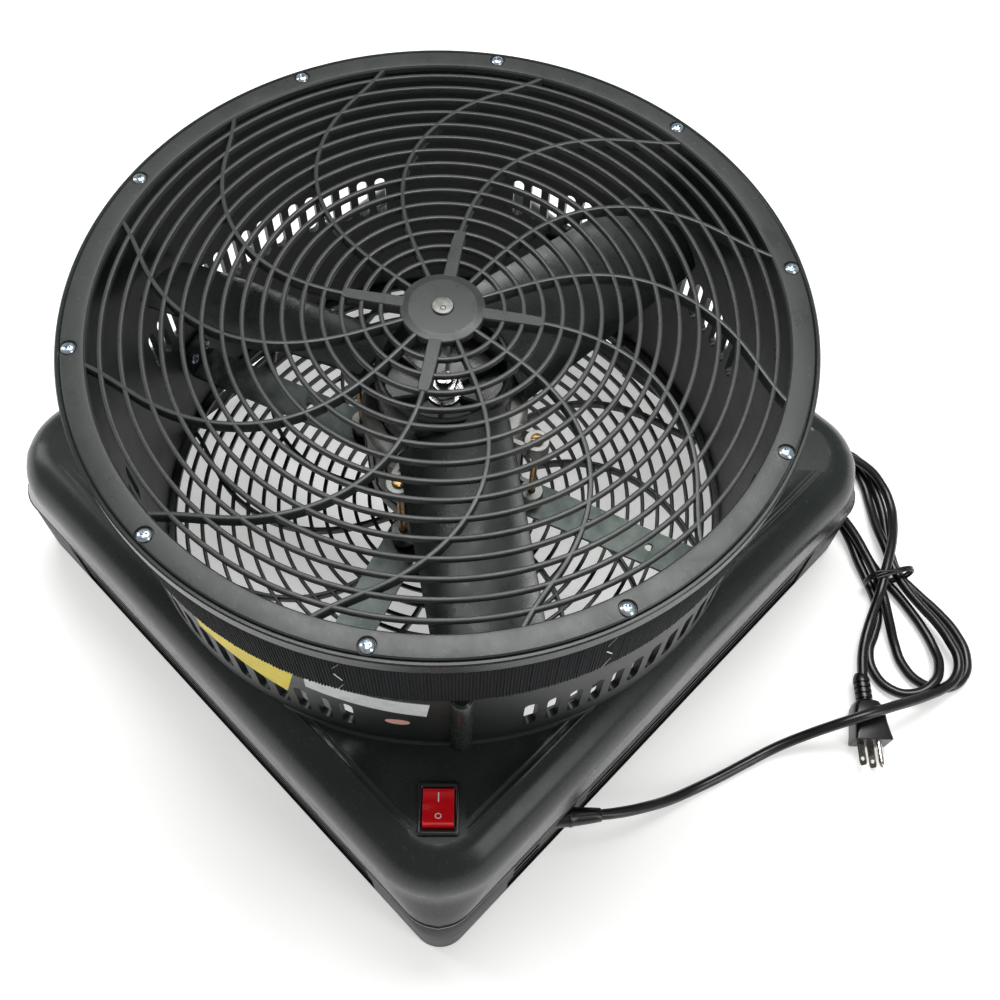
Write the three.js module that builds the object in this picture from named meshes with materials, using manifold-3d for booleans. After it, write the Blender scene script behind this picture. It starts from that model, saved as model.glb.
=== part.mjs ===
// Inflatable-tube blower: an upward axial fan in a square moulded base.
// Millimetres, +Z up, origin at the centre of the base on the floor.
import * as THREE from 'three';
import { mergeVertices } from 'three/addons/utils/BufferGeometryUtils.js';
import Module from 'manifold-3d';

const wasm = await Module();
wasm.setup();

// ---- driving dimensions -------------------------------------------------------------
const GAP = 0.3;                  // clearance between neighbouring pieces
const DEG = Math.PI / 180;
const ROUND = 48;                 // facets round the duct and everything concentric with it

const GRILLE_TOP = 308;           // top face of the guard grille's rim above the floor
const GRILLE_THICK = 4;
const INTAKE_TOP = 73;            // top face of the intake grille's rim
const FLANGE_OUTER_R = 230;
const RIM_OUTER_R = 226.5;
const RIM_INNER_R = 212.2;
const SCREW_CIRCLE_R = 222.9;
const DUCT_INNER_R = 217.5;
const DUCT_OUTER_R = 222.5;

const DECK_Z = 145;               // flat top of the square base
const DECK_HALF = 211;            // half side of the flat deck
const SHOULDER_Z = 113;           // height of the widest part of the shoulder
const SHOULDER_HALF = 237;
const SPLIT_Z = 78;               // joint between upper and lower housing
const BASE_HALF = 239;
const BASE_Z = 4;                 // underside of the moulding, above the rubber feet
const WALL = 4;

const SCREW_COUNT = 10;
const SCREW_ANGLE = 90;
const RIB_COUNT = 12;
const TOP_RIB_ANGLE = 5.7;
const INTAKE_RIB_ANGLE = 8.2;
const RING_COUNT = 4;
const RING_FIRST_R = 37.7;
const RING_STEP = 47.6;
const GRILLE_HUB_R = 26.3;

const TOP_FLANGE_Z = 296;         // underside of the duct's top flange
const CHANNEL_R = 6.5;            // moulded wire channel up the outside of the duct
const CHANNEL_TOP = 232;
const CHANNEL_ANGLE = -41.4;
const HARNESS_Z = 104;            // height at which the wires pass through the duct's wall

const VENTS_PER_SIDE = 17;
const VENT_PITCH = 3.8;           // degrees
const VENT_WIDTH = 8.5;
const VENT_LOW = 163;
const VENT_HIGH = 201;

const SWITCH_R = 264.5;           // distance of the rocker switch from the duct's axis
const SWITCH_ANGLE = -45;
const ROCKER_TILT = 10;           // the rocker leans this far each way

const BLADES = 3;
const BLADE_ANGLE = -38;
const BLADE_CHORD = 86;
const BLADE_THICK = 3;
const BLADE_TAPER = 0.37;         // share by which the low edge draws in towards the tip
const BLADE_Z = 233;              // height of the blades' middle line
const BLADE_ROOT_R = 43;
const BLADE_TIP_R = 211;

const SHAFT_R = 6;
const MOTOR_R = 58;
const MOTOR_LOW = 121;
const MOTOR_HIGH = 202;
const LUG_R = 70;                 // circle of the four motor bolts
const STRAP_ANGLE = 20;
const STRAP_WIDTH = 28;
const STRAP_THICK = 3;
const STRAP_TOP = 120.7;
const STRAP_REACH = 216.4;
const TAB_HEIGHT = 27;

const CORD_R = 4;
const CORD_EXIT = [237, -112, 40];    // where the cord's axis crosses the wall
const CORD_HEADING = 50;              // degrees from +X towards +Y as it leaves
const CORD_DIP = 3;
const PLUG_AT = [341, 128, 11];       // rear face of the plug body
const PLUG_HEADING = -46;             // direction the prongs point
const PLUG_ROLL = 143;                // the plug lies turned about its own axis
const HANK_LOW = [349, 199, 42];      // lower loop: centre x, y and radius
const HANK_HIGH = [212, 277, 34];     // upper loop
const HANK_WAIST = 17;
const HANK_HEIGHT = 24;
const HANK_REST = 1.6;                // the cable tie passes under the hank
const TIE_AT = [291.5, 231];

// the cord's centreline from the strain relief to the hank, and from the hank to the plug
const LEAD_ROUTE = [[254.6, -91, 38.4], [257.5, -87.5, 37.6], [264, -77, 33], [273, -60, 24],
  [281, -42, 14], [289, -20, 6], [297, 2, 4.6], [305, 26, 4.6], [314, 51, 7.5], [324, 71, 15],
  [333, 86, 23.5], [341, 99, 30], [349, 113, 33], [358.5, 132, 30], [366.5, 149, 24], [370, 156.5, 21]];
const TAIL_ROUTE = [[308.5, 175.5, 12], [311.5, 169, 11.4], [316.5, 157.5, 11], [322.2, 147.5, 11],
  [328.2, 141.3, 11]];

// ---- helpers ------------------------------------------------------------------------
function material(color, roughness, metalness) {
  return new THREE.MeshStandardMaterial({ color, roughness, metalness });
}

const finishes = {
  housing: () => material(0x1d2120, 0.42, 0),
  grille: () => material(0x4a4d4c, 0.5, 0),
  black: () => material(0x101211, 0.5, 0),
  hooks: () => material(0x0c0d10, 0.9, 0),
  zinc: () => material(0x9aa5ab, 0.35, 1),
  steel: () => material(0xb9bcc0, 0.3, 1),
  brass: () => material(0xb08a4a, 0.35, 1),
  aluminium: () => material(0x9b9c98, 0.5, 1),
  copper: () => material(0x9c5f35, 0.5, 1),
  red: () => material(0xc2060c, 0.25, 0),
  rubber: () => material(0x141414, 0.85, 0),
  cord: () => material(0x0b0b0c, 0.55, 0),
};

// A three.js geometry as a manifold solid: only positions, shared corners merged.
function solid(geometry) {
  geometry.deleteAttribute('normal');
  geometry.deleteAttribute('uv');
  const merged = mergeVertices(geometry, 1e-4);
  const mesh = new wasm.Mesh({
    numProp: 3,
    vertProperties: new Float32Array(merged.attributes.position.array),
    triVerts: new Uint32Array(merged.index.array),
  });
  return new wasm.Manifold(mesh);
}

function geometryOf(manifold) {
  const mesh = manifold.getMesh();
  const geometry = new THREE.BufferGeometry();
  geometry.setAttribute('position', new THREE.BufferAttribute(new Float32Array(mesh.vertProperties), 3));
  geometry.setIndex(new THREE.BufferAttribute(new Uint32Array(mesh.triVerts), 1));
  return geometry;
}

// Profile points are [radius, z]; the profile ends on the axis or closes on itself.
function lathe(points, segments = ROUND) {
  const profile = points.map(([r, z]) => new THREE.Vector2(r, z));
  const geometry = new THREE.LatheGeometry(profile, segments);
  geometry.rotateX(Math.PI / 2);
  return solid(geometry);
}

function ring(inner, outer, low, high, segments = ROUND) {
  return lathe([[inner, low], [outer, low], [outer, high], [inner, high], [inner, low]], segments);
}

function disc(radius, low, high, segments = ROUND) {
  return lathe([[0, low], [radius, low], [radius, high], [0, high]], segments);
}

function box(x0, x1, y0, y1, z0, z1) {
  const geometry = new THREE.BoxGeometry(x1 - x0, y1 - y0, z1 - z0);
  geometry.translate((x0 + x1) / 2, (y0 + y1) / 2, (z0 + z1) / 2);
  return solid(geometry);
}

function extrude(points, depth) {
  const shape = new THREE.Shape(points.map(([x, y]) => new THREE.Vector2(x, y)));
  return solid(new THREE.ExtrudeGeometry(shape, { depth, bevelEnabled: false }));
}

function turned(manifold, degrees) {
  return manifold.rotate([0, 0, degrees]);
}

function union(parts) {
  return parts.reduce((sum, part) => sum.add(part));
}

function cut(body, tools) {
  return tools.reduce((left, tool) => left.subtract(tool), body);
}

// Copies of one solid at several angles about Z.
function around(manifold, angles) {
  return angles.map((angle) => turned(manifold, angle));
}

function everyTurn(count, first) {
  return Array.from({ length: count }, (_, k) => first + k * 360 / count);
}

// A rod along local +X, from x0 to x1, turned by (up, about) and moved to a point.
function rod(radius, x0, x1, up, about, at, segments = 12) {
  const geometry = new THREE.CylinderGeometry(radius, radius, x1 - x0, segments);
  geometry.rotateZ(-Math.PI / 2);
  geometry.translate((x0 + x1) / 2, 0, 0);
  return solid(geometry).rotate([0, -up, about]).translate(at);
}

function tube(route, radius, sides, steps) {
  const curve = new THREE.CatmullRomCurve3(route.map((p) => new THREE.Vector3(...p)), false, 'centripetal');
  const section = new THREE.Shape(everyTurn(sides, 360 / sides / 2).map(
    (angle) => new THREE.Vector2(radius * Math.cos(angle * DEG), radius * Math.sin(angle * DEG))));
  return solid(new THREE.ExtrudeGeometry(section, { steps, extrudePath: curve, bevelEnabled: false }));
}

// Rounded square: point number i of n, for a half side and a corner radius.
const CORNER_STEPS = 4;
const SQUARE_POINTS = 4 * (CORNER_STEPS + 1);
function squarePoint(i, half, radius) {
  const quarter = Math.floor(i / (CORNER_STEPS + 1)) % 4;
  const step = i % (CORNER_STEPS + 1);
  const angle = (quarter * 90 + step * 90 / CORNER_STEPS) * DEG;
  const signX = [1, -1, -1, 1][quarter];
  const signY = [1, 1, -1, -1][quarter];
  const middle = half - radius;
  return [signX * middle + radius * Math.cos(angle), signY * middle + radius * Math.sin(angle)];
}

// A lathe whose rings are rounded squares. Profile points are [half side, z, corner radius].
function squareLathe(points) {
  const profile = points.map(([half, z]) => new THREE.Vector2(half, z));
  const geometry = new THREE.LatheGeometry(profile, SQUARE_POINTS);
  const position = geometry.attributes.position;
  for (let index = 0; index < position.count; index += 1) {
    const [half, z, radius] = points[index % points.length];
    const i = Math.floor(index / points.length) % SQUARE_POINTS;
    const [x, y] = half > 0 ? squarePoint(i, half, radius) : [0, 0];
    position.setXYZ(index, x, y, z);
  }
  const body = solid(geometry);
  return body.volume() < 0 ? solid(flipped(geometry)) : body;
}

function flipped(geometry) {
  const index = geometry.index.array;
  for (let t = 0; t < index.length; t += 3) {
    [index[t + 1], index[t + 2]] = [index[t + 2], index[t + 1]];
  }
  return geometry;
}

function polar(radius, degrees, z = 0) {
  return [radius * Math.cos(degrees * DEG), radius * Math.sin(degrees * DEG), z];
}

const object = new THREE.Group();

function add(name, manifold, finish, parent = object) {
  const mesh = new THREE.Mesh(geometryOf(manifold), finish());
  mesh.name = name;
  parent.add(mesh);
  return mesh;
}

// ---- housings -----------------------------------------------------------------------
function shoulderProfile(offset) {
  const top = DECK_Z - offset;
  const half = SHOULDER_HALF - offset;
  const rise = top - SHOULDER_Z;
  const roll = half - (DECK_HALF - offset);
  const points = [[0, top, 0], [DECK_HALF - offset, top, 28 - offset / 2]];
  for (let k = 1; k <= 4; k += 1) {
    const a = k * 22.5 * DEG;
    points.push([DECK_HALF - offset + roll * Math.sin(a), SHOULDER_Z + rise * Math.cos(a),
      (28 + 24 * Math.sin(a)) - offset / 2]);
  }
  points.push([half + 1, 95, 38 - offset / 2], [half + 1.5, SPLIT_Z, 28 - offset / 2]);
  return points;
}

function screwHoles(radius, low, high) {
  const hole = disc(radius, low, high, 6).translate([SCREW_CIRCLE_R, 0, 0]);
  return around(hole, everyTurn(SCREW_COUNT, SCREW_ANGLE));
}

function ventSlots() {
  const slot = box(210, 230, -VENT_WIDTH / 2, VENT_WIDTH / 2, VENT_LOW, VENT_HIGH);
  const middle = (VENTS_PER_SIDE - 1) / 2;
  const angles = [];
  for (let side = 0; side < 4; side += 1) {
    for (let k = 0; k < VENTS_PER_SIDE; k += 1) {
      angles.push(side * 90 + (k - middle) * VENT_PITCH);
    }
  }
  return around(slot, angles);
}

function strapAngles() {
  return everyTurn(4, STRAP_ANGLE);
}

const TAB_SCREW_Z = STRAP_TOP + 14;
function wallScrewHoles() {
  return strapAngles().map((angle) => rod(2.6, 205, 230, 0, angle, [0, 0, TAB_SCREW_Z], 8));
}

function upperHousing() {
  const outside = shoulderProfile(0);
  const inside = shoulderProfile(WALL).reverse();
  const shell = squareLathe([...outside, ...inside]);
  const bore = disc(DUCT_OUTER_R + GAP, 60, 320);
  const switchHole = turned(box(SWITCH_R - 14, SWITCH_R + 14, -11.1, 11.1, 130, 150), SWITCH_ANGLE);
  return cut(shell, [bore, switchHole]);
}

function duct() {
  const top = GRILLE_TOP - GRILLE_THICK - GAP;
  const tubeWall = ring(DUCT_INNER_R - 1, DUCT_OUTER_R, INTAKE_TOP + GAP, top);
  const topFlange = ring(DUCT_INNER_R - 1, FLANGE_OUTER_R, TOP_FLANGE_Z, top);
  const lip = ring(RIM_OUTER_R + 0.6, FLANGE_OUTER_R, TOP_FLANGE_Z + 4, GRILLE_TOP - 1);
  const lowFlange = ring(DUCT_INNER_R - 1, FLANGE_OUTER_R, INTAKE_TOP + GAP, INTAKE_TOP + 5);
  const channel = disc(CHANNEL_R, DECK_Z + GAP, CHANNEL_TOP, 12)
    .translate(polar(DUCT_OUTER_R + 0.5, CHANNEL_ANGLE));
  const bore = disc(DUCT_INNER_R, 60, 320);
  const body = union([tubeWall, topFlange, lip, lowFlange, channel]).subtract(bore);
  const wireHole = rod(4.5, 205, 235, 0, SWITCH_ANGLE, [0, 0, HARNESS_Z], 8);
  return cut(body, [...ventSlots(), ...screwHoles(2.7, 296, 310), ...screwHoles(2.7, 60, 78),
    ...wallScrewHoles(), wireHole]);
}

function lowerHousing() {
  const top = SPLIT_Z - GAP;
  const outline = [[BASE_HALF, BASE_Z, 21], [BASE_HALF - 0.5, top, 28], [BASE_HALF - 5.5, top, 25],
    [BASE_HALF - 5, BASE_Z, 18], [BASE_HALF, BASE_Z, 21]];
  const skirt = squareLathe(outline);
  const whole = squareLathe([[0, BASE_Z, 0], [BASE_HALF - 1, BASE_Z, 20], [BASE_HALF - 1, BASE_Z + 4, 20],
    [0, BASE_Z + 4, 0]]);
  const feet = around(box(168, 240, 168, 240, 0, 20), [0, 90, 180, 270]).map((b) => b.intersect(whole));
  const recess = box(BASE_HALF - 2, 250, -172, 172, 8, 70);
  const slots = [16, 34, 52].map((low) => box(225, 250, -164, 164, low, low + 12));
  const sides = [0, 90, 180, 270];
  const ribs = [-82, 0, 82].map((u) => box(226, BASE_HALF - 3, u - 2, u + 2, 8, 66));
  const pad = box(229, BASE_HALF - 1.5, CORD_EXIT[1] - 26, CORD_EXIT[1] + 26, 20, 60);
  const hole = rod(7.4, -60, 60, -CORD_DIP, CORD_HEADING, CORD_EXIT, 12);
  const pierced = cut(skirt, [recess, ...slots].flatMap((tool) => around(tool, sides)));
  return union([pierced, ...feet, ...ribs.flatMap((rib) => around(rib, sides)), pad]).subtract(hole);
}

// ---- guard grilles ------------------------------------------------------------------
// How far a rib has swept back from its straight line at radius r, in degrees.
function ribSweep(r) {
  const start = 45;
  const t = Math.max(0, (r - start) / (RIM_INNER_R - start));
  return -36 * t ** 1.6;
}

function rib(angle, width, low, high, from, to, steps) {
  const left = [];
  const right = [];
  for (let k = 0; k <= steps; k += 1) {
    const r = from + (to - from) * k / steps;
    const here = polar(r, angle + ribSweep(r));
    const ahead = polar(r + 1, angle + ribSweep(r + 1));
    const length = Math.hypot(ahead[0] - here[0], ahead[1] - here[1]);
    const nx = -(ahead[1] - here[1]) / length;
    const ny = (ahead[0] - here[0]) / length;
    left.push([here[0] + nx * width / 2, here[1] + ny * width / 2]);
    right.push([here[0] - nx * width / 2, here[1] - ny * width / 2]);
  }
  return extrude([...right, ...left.reverse()], high - low).translate([0, 0, low]);
}

function grille(top, firstRib) {
  const low = top - GRILLE_THICK;
  const parts = [ring(RIM_INNER_R, RIM_OUTER_R, low, top), disc(GRILLE_HUB_R, low, top, 24)];
  for (let k = 0; k < RING_COUNT; k += 1) {
    const r = RING_FIRST_R + k * RING_STEP;
    parts.push(ring(r - 1.5, r + 1.5, low, top, 24));
  }
  everyTurn(RIB_COUNT, firstRib).forEach((angle, k) => {
    const wide = k % 3 === 1;
    parts.push(rib(angle, wide ? 6 : 3, low, top, GRILLE_HUB_R - 1, RIM_INNER_R + 1, 4));
  });
  return union(parts);
}

function drilledGrille(top, firstRib) {
  return cut(grille(top, firstRib), screwHoles(2.7, top - 10, top + 10));
}

// ---- fasteners ----------------------------------------------------------------------
function panScrew(length, headR = 4.3, shankR = 2.2) {
  return lathe([[0, -length], [shankR, -length], [shankR, GAP], [headR, GAP], [headR, 1.6], [headR - 1.4, 3],
    [0, 3]], 8);
}

function addGrilleScrews() {
  everyTurn(SCREW_COUNT, SCREW_ANGLE).forEach((angle, k) => {
    const screw = panScrew(11).translate([SCREW_CIRCLE_R, 0, GRILLE_TOP]);
    add(`top_grille_screw_${k + 1}`, turned(screw, angle), finishes.zinc);
  });
}

function addStrapScrews() {
  strapAngles().forEach((angle, k) => {
    const screw = panScrew(12).rotate([0, -90, 0]).translate([STRAP_REACH - STRAP_THICK, 0, TAB_SCREW_Z]);
    add(`strap_screw_${k + 1}`, turned(screw, angle), finishes.zinc);
  });
}

// ---- motor --------------------------------------------------------------------------
const SHIELD_THICK = 12;
const BEARING_OUTER_R = 13;

function endShield(low) {
  const lug = disc(9, low, low + SHIELD_THICK, 8).translate([LUG_R, 0, 0]);
  const arm = box(40, LUG_R, -8, 8, low, low + SHIELD_THICK);
  const body = union([disc(MOTOR_R, low, low + SHIELD_THICK, 28), ...around(lug, strapAngles()),
    ...around(arm, strapAngles())]);
  const seat = disc(BEARING_OUTER_R + 2 * GAP, low - 1, low + SHIELD_THICK + 1, 16);
  const hole = disc(3, low - 1, low + SHIELD_THICK + 1, 8).translate([LUG_R, 0, 0]);
  return cut(body, [seat, ...around(hole, strapAngles())]);
}

function motorBolt() {
  return lathe([[0, 108], [2.4, 108], [2.4, MOTOR_HIGH + GAP], [4.6, MOTOR_HIGH + GAP], [4.6, 204.6],
    [3.4, 205.6], [0, 205.6]], 8).translate([LUG_R, 0, 0]);
}

function strap(top) {
  const low = top - STRAP_THICK;
  const half = STRAP_WIDTH / 2;
  const parts = [box(-STRAP_REACH, STRAP_REACH, -half, half, low, top)];
  [-1, 1].forEach((sign) => {
    const near = sign > 0 ? STRAP_REACH - STRAP_THICK : -STRAP_REACH;
    parts.push(box(near, near + STRAP_THICK, -half, half, low, STRAP_TOP + TAB_HEIGHT));
  });
  const bolt = disc(3, low - 1, top + 1, 8);
  const screw = rod(2.6, -230, 230, 0, 0, [0, 0, TAB_SCREW_Z], 8);
  return cut(union(parts), [bolt.translate([LUG_R, 0, 0]), bolt.translate([-LUG_R, 0, 0]), screw]);
}

function addMotor() {
  const canLow = MOTOR_LOW + SHIELD_THICK + GAP;
  const canHigh = MOTOR_HIGH - SHIELD_THICK - GAP;
  add('motor_lower_end_shield', endShield(MOTOR_LOW), finishes.aluminium);
  add('motor_upper_end_shield', endShield(MOTOR_HIGH - SHIELD_THICK), finishes.aluminium);
  add('motor_can', ring(MOTOR_R - 5, MOTOR_R, canLow, canHigh, 28), finishes.black);
  add('motor_stator', ring(33, MOTOR_R - 5 - GAP, canLow + 6, canHigh - 6, 28), finishes.copper);
  add('motor_lower_bearing', ring(SHAFT_R + GAP, BEARING_OUTER_R, MOTOR_LOW + 2, MOTOR_LOW + 11, 16),
    finishes.steel);
  add('motor_upper_bearing', ring(SHAFT_R + GAP, BEARING_OUTER_R, MOTOR_HIGH - 11, MOTOR_HIGH - 2, 16),
    finishes.steel);
  strapAngles().forEach((angle, k) => {
    add(`motor_bolt_${k + 1}`, turned(motorBolt(), angle), finishes.brass);
  });
  add('motor_strap_upper', turned(strap(STRAP_TOP), STRAP_ANGLE), finishes.zinc);
  add('motor_strap_lower', turned(strap(STRAP_TOP - STRAP_THICK - GAP), STRAP_ANGLE + 90), finishes.zinc);
}

// ---- turning parts ------------------------------------------------------------------
// Blade section across the chord, extruded along the radius and pitched towards the tip.
function blade() {
  const half = BLADE_CHORD / 2;
  const upper = [];
  const lower = [];
  for (let k = 0; k <= 6; k += 1) {
    const u = -half + BLADE_CHORD * k / 6;
    const camber = 5 * (1 - (u / half) ** 2);
    upper.unshift([u, camber + BLADE_THICK / 2]);
    lower.push([u, camber - BLADE_THICK / 2]);
  }
  const shape = new THREE.Shape([...lower, ...upper].map(([x, y]) => new THREE.Vector2(x, y)));
  const span = BLADE_TIP_R - BLADE_ROOT_R;
  const geometry = new THREE.ExtrudeGeometry(shape, { depth: span, steps: 6, bevelEnabled: false });
  const position = geometry.attributes.position;
  for (let i = 0; i < position.count; i += 1) {
    const along = position.getZ(i) / span;
    const pitch = (34 - 10 * along) * DEG;
    const across = position.getX(i);
    const u = across < 0 ? across * (1 - BLADE_TAPER * along) : across;
    const v = position.getY(i);
    const r = BLADE_ROOT_R + span * along - 0.0028 * along * u * u;
    const chordwise = u * Math.cos(pitch) - v * Math.sin(pitch);
    position.setXYZ(i, r, chordwise, BLADE_Z + u * Math.sin(pitch) + v * Math.cos(pitch));
  }
  return solid(geometry);
}

function impeller() {
  const hub = lathe([[SHAFT_R + GAP, 207.5], [44, 207.5], [46, 209.5], [46, 246], [43, 249], [41.5, 246],
    [41.5, 219], [SHAFT_R + GAP, 217], [SHAFT_R + GAP, 207.5]], 28);
  return union([hub, ...around(blade(), everyTurn(BLADES, BLADE_ANGLE))]);
}

function hexNut() {
  const nut = disc(10, 219.6, 228, 6);
  return nut.subtract(disc(SHAFT_R + GAP, 210, 240, 24));
}

function addTurningParts() {
  add('motor_shaft', disc(SHAFT_R, 121.2, 233, 20), finishes.steel);
  add('motor_rotor', ring(SHAFT_R + GAP, 32.2, 144, 181, 28), finishes.aluminium);
  add('impeller', impeller(), finishes.black);
  add('impeller_washer', ring(SHAFT_R + GAP, 13, 217.9, 219.3, 16), finishes.steel);
  add('impeller_nut', hexNut(), finishes.steel);
}

// ---- switch -------------------------------------------------------------------------
const PIVOT_Z = DECK_Z + 0.7;

function switchBody() {
  const bezel = box(-16.5, 16.5, -13, 13, DECK_Z + GAP, DECK_Z + 3.2);
  const can = box(-13.6, 13.6, -10.7, 10.7, 121, DECK_Z + 1);
  const well = box(-12.6, 12.6, -10, 10, DECK_Z - 13, DECK_Z + 5);
  return union([bezel, can]).subtract(well);
}

// Rocker in its own frame: local X points away from the duct, the pivot runs along Y.
function rocker() {
  const reach = 12.1;
  const ends = [24, 8, -8, -22];
  const outer = ends.map((a) => [reach * Math.cos(a * DEG), reach * Math.sin(a * DEG)]);
  const inner = outer.map(([x, z]) => [-x, z]).reverse();
  const body = extrude([...outer, [0, -8], ...inner, [0, 3.6]].reverse(), 19.4);
  return body.translate([0, 0, -9.7]).rotate([90, 0, 0]);
}

function addSwitch() {
  const site = new THREE.Group();
  site.rotation.z = SWITCH_ANGLE * DEG;
  site.position.set(...polar(SWITCH_R, SWITCH_ANGLE));
  object.add(site);
  add('switch_body', switchBody(), finishes.black, site);
  const rest = rocker().rotate([0, -ROCKER_TILT, 0]).translate([0, 0, PIVOT_Z]);
  add('switch_rocker', rest, finishes.red, site);
}

// ---- electrical parts inside the base ------------------------------------------------
function addElectrical() {
  const can = turned(box(231, 259, -28, 28, 98, DECK_Z - WALL - GAP), -135);
  add('run_capacitor', can, finishes.aluminium);
  const route = [[66, 128], [72, 116], [86, 107], [110, HARNESS_Z], [160, HARNESS_Z], [215, HARNESS_Z],
    [240, 104.5], [256, 107], [263, 112], [264.5, 119.4]];
  const path = route.map(([r, z]) => polar(r, SWITCH_ANGLE, z));
  add('wiring_harness', tube(path, 3, 6, 18), finishes.cord);
}

function addFeet() {
  everyTurn(4, 45).forEach((angle, k) => {
    const foot = lathe([[0, 0], [13, 0], [14, 1], [14, BASE_Z - GAP], [0, BASE_Z - GAP]], 20);
    const [x, y] = polar(205 * Math.SQRT2, angle);
    add(`rubber_foot_${k + 1}`, foot.translate([x, y, 0]), finishes.rubber);
  });
}

// ---- mains cord ---------------------------------------------------------------------
function strainRelief() {
  const boot = lathe([[0, -14], [7, -14], [7, 8], [6.8, 9], [4.9, 26.5], [0, 26.5]], 16);
  return boot.rotate([0, 90, 0]).rotate([0, CORD_DIP, CORD_HEADING]).translate(CORD_EXIT);
}

// Outline of the tied hank: two round loops joined through a narrow waist.
function hank() {
  const [ax, ay, ar] = HANK_LOW;
  const [bx, by, br] = HANK_HIGH;
  const length = Math.hypot(bx - ax, by - ay);
  const heading = Math.atan2(by - ay, bx - ax) / DEG;
  const waist = Math.hypot(TIE_AT[0] - ax, TIE_AT[1] - ay);
  const points = [];
  for (let a = 60; a <= 300; a += 24) {
    points.push([ar * Math.cos(a * DEG), ar * Math.sin(a * DEG)]);
  }
  points.push([waist, -HANK_WAIST]);
  for (let a = -120; a <= 120; a += 24) {
    points.push([length + br * Math.cos(a * DEG), br * Math.sin(a * DEG)]);
  }
  points.push([waist, HANK_WAIST]);
  return turned(extrude(points, HANK_HEIGHT - HANK_REST), heading).translate([ax, ay, HANK_REST]);
}

function cableTie() {
  const heading = Math.atan2(HANK_HIGH[1] - HANK_LOW[1], HANK_HIGH[0] - HANK_LOW[0]) / DEG;
  const band = box(-1.4, 1.4, -23, 23, 0, 28).subtract(box(-4, 4, -21.6, 21.6, 1.2, 26.8));
  const lock = box(-2.6, 2.6, 20, 27, 9, 14).subtract(box(-4, 4, 0, 21.6, 0, 28));
  return turned(band.add(lock), heading);
}

function plugBody() {
  const outline = [[0, -9], [12, -13.5], [33, -15], [33, 15], [12, 13.5], [0, 9]];
  const body = extrude(outline, 22).translate([0, 0, -11]);
  const relief = rod(5.6, -18, 1, 0, 0, [0, 0, 0], 12);
  return turned(body.add(relief), PLUG_HEADING).translate(PLUG_AT);
}

function addPlug() {
  add('plug_body', plugBody(), finishes.cord);
  const from = 33 + GAP;
  const sites = [[-6.35, 4.5], [6.35, 4.5]];
  const blades = sites.map(([side, up]) => box(from, from + 17.5, side - 0.75, side + 0.75, up - 3.15,
    up + 3.15));
  const pin = rod(2.4, from, from + 20.5, 0, 0, [0, 0, -6.5], 12);
  const names = ['plug_blade_line', 'plug_blade_neutral', 'plug_pin_ground'];
  [...blades, pin].forEach((prong, k) => {
    const rolled = prong.rotate([PLUG_ROLL, 0, 0]);
    add(names[k], turned(rolled, PLUG_HEADING).translate(PLUG_AT), finishes.brass);
  });
}

function addCord() {
  add('cord_strain_relief', strainRelief(), finishes.cord);
  add('cord_lead', tube(LEAD_ROUTE, CORD_R, 8, 18), finishes.cord);
  add('cord_hank', hank(), finishes.cord);
  add('cord_tail', tube(TAIL_ROUTE, CORD_R, 8, 6), finishes.cord);
  add('cable_tie', cableTie().translate([...TIE_AT, 0]), finishes.black);
}

// ---- assembly -----------------------------------------------------------------------
add('upper_housing', upperHousing(), finishes.housing);
add('duct', duct(), finishes.housing);
add('lower_housing', lowerHousing(), finishes.housing);
add('top_grille', drilledGrille(GRILLE_TOP, TOP_RIB_ANGLE), finishes.grille);
add('intake_grille', drilledGrille(INTAKE_TOP, INTAKE_RIB_ANGLE), finishes.grille);
add('hook_tape_band', ring(DUCT_OUTER_R + GAP, 225.2, 233, 283), finishes.hooks);
add('grille_centre_bolt', disc(6.9, GRILLE_TOP + GAP, GRILLE_TOP + 3, 16), finishes.aluminium);
addGrilleScrews();
addMotor();
addStrapScrews();
addTurningParts();
addSwitch();
addElectrical();
addFeet();
addCord();
addPlug();

export default object;
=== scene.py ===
# %% [markdown]
# # An inflatable-tube blower
#
# The machine stands on the floor and blows straight up. A square moulded base carries a short round
# duct, a spiral guard grille closes the duct at the top, and a second one lets the air in below.
# A band of hook tape round the duct holds the tube. The mains cord lies beside it, tied in a hank.
#
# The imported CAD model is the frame: every piece below is made in that frame, so it needs no fitting.

import math
import random

import bpy
import bmesh
from mathutils import Matrix, Vector


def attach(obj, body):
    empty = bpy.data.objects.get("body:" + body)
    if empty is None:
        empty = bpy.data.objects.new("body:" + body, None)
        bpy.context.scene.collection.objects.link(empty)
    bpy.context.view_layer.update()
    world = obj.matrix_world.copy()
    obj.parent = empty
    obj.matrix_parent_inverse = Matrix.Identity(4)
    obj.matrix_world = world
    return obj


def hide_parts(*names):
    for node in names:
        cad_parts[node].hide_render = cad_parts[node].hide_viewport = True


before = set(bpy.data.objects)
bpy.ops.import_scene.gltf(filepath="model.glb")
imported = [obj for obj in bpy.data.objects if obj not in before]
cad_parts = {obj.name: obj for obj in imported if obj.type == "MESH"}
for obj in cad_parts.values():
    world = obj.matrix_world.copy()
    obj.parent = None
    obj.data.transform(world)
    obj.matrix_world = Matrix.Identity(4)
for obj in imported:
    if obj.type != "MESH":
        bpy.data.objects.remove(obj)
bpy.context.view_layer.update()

# %% [markdown]
# ## Camera
#
# A camera is a point, a direction and a lens. The machine is seen from its front corner, steeply
# from above and from less than a metre away, which is why the far side of the duct looks small.
# The camera also leans a few degrees, so the last turn is about its own line of sight.

# %% Camera
AZIMUTH, ELEVATION, LEAN = math.radians(41.2), math.radians(61.405), math.radians(3.889)
CAMERA_AT = Vector((0.30795, -0.28690, 0.83560))


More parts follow.
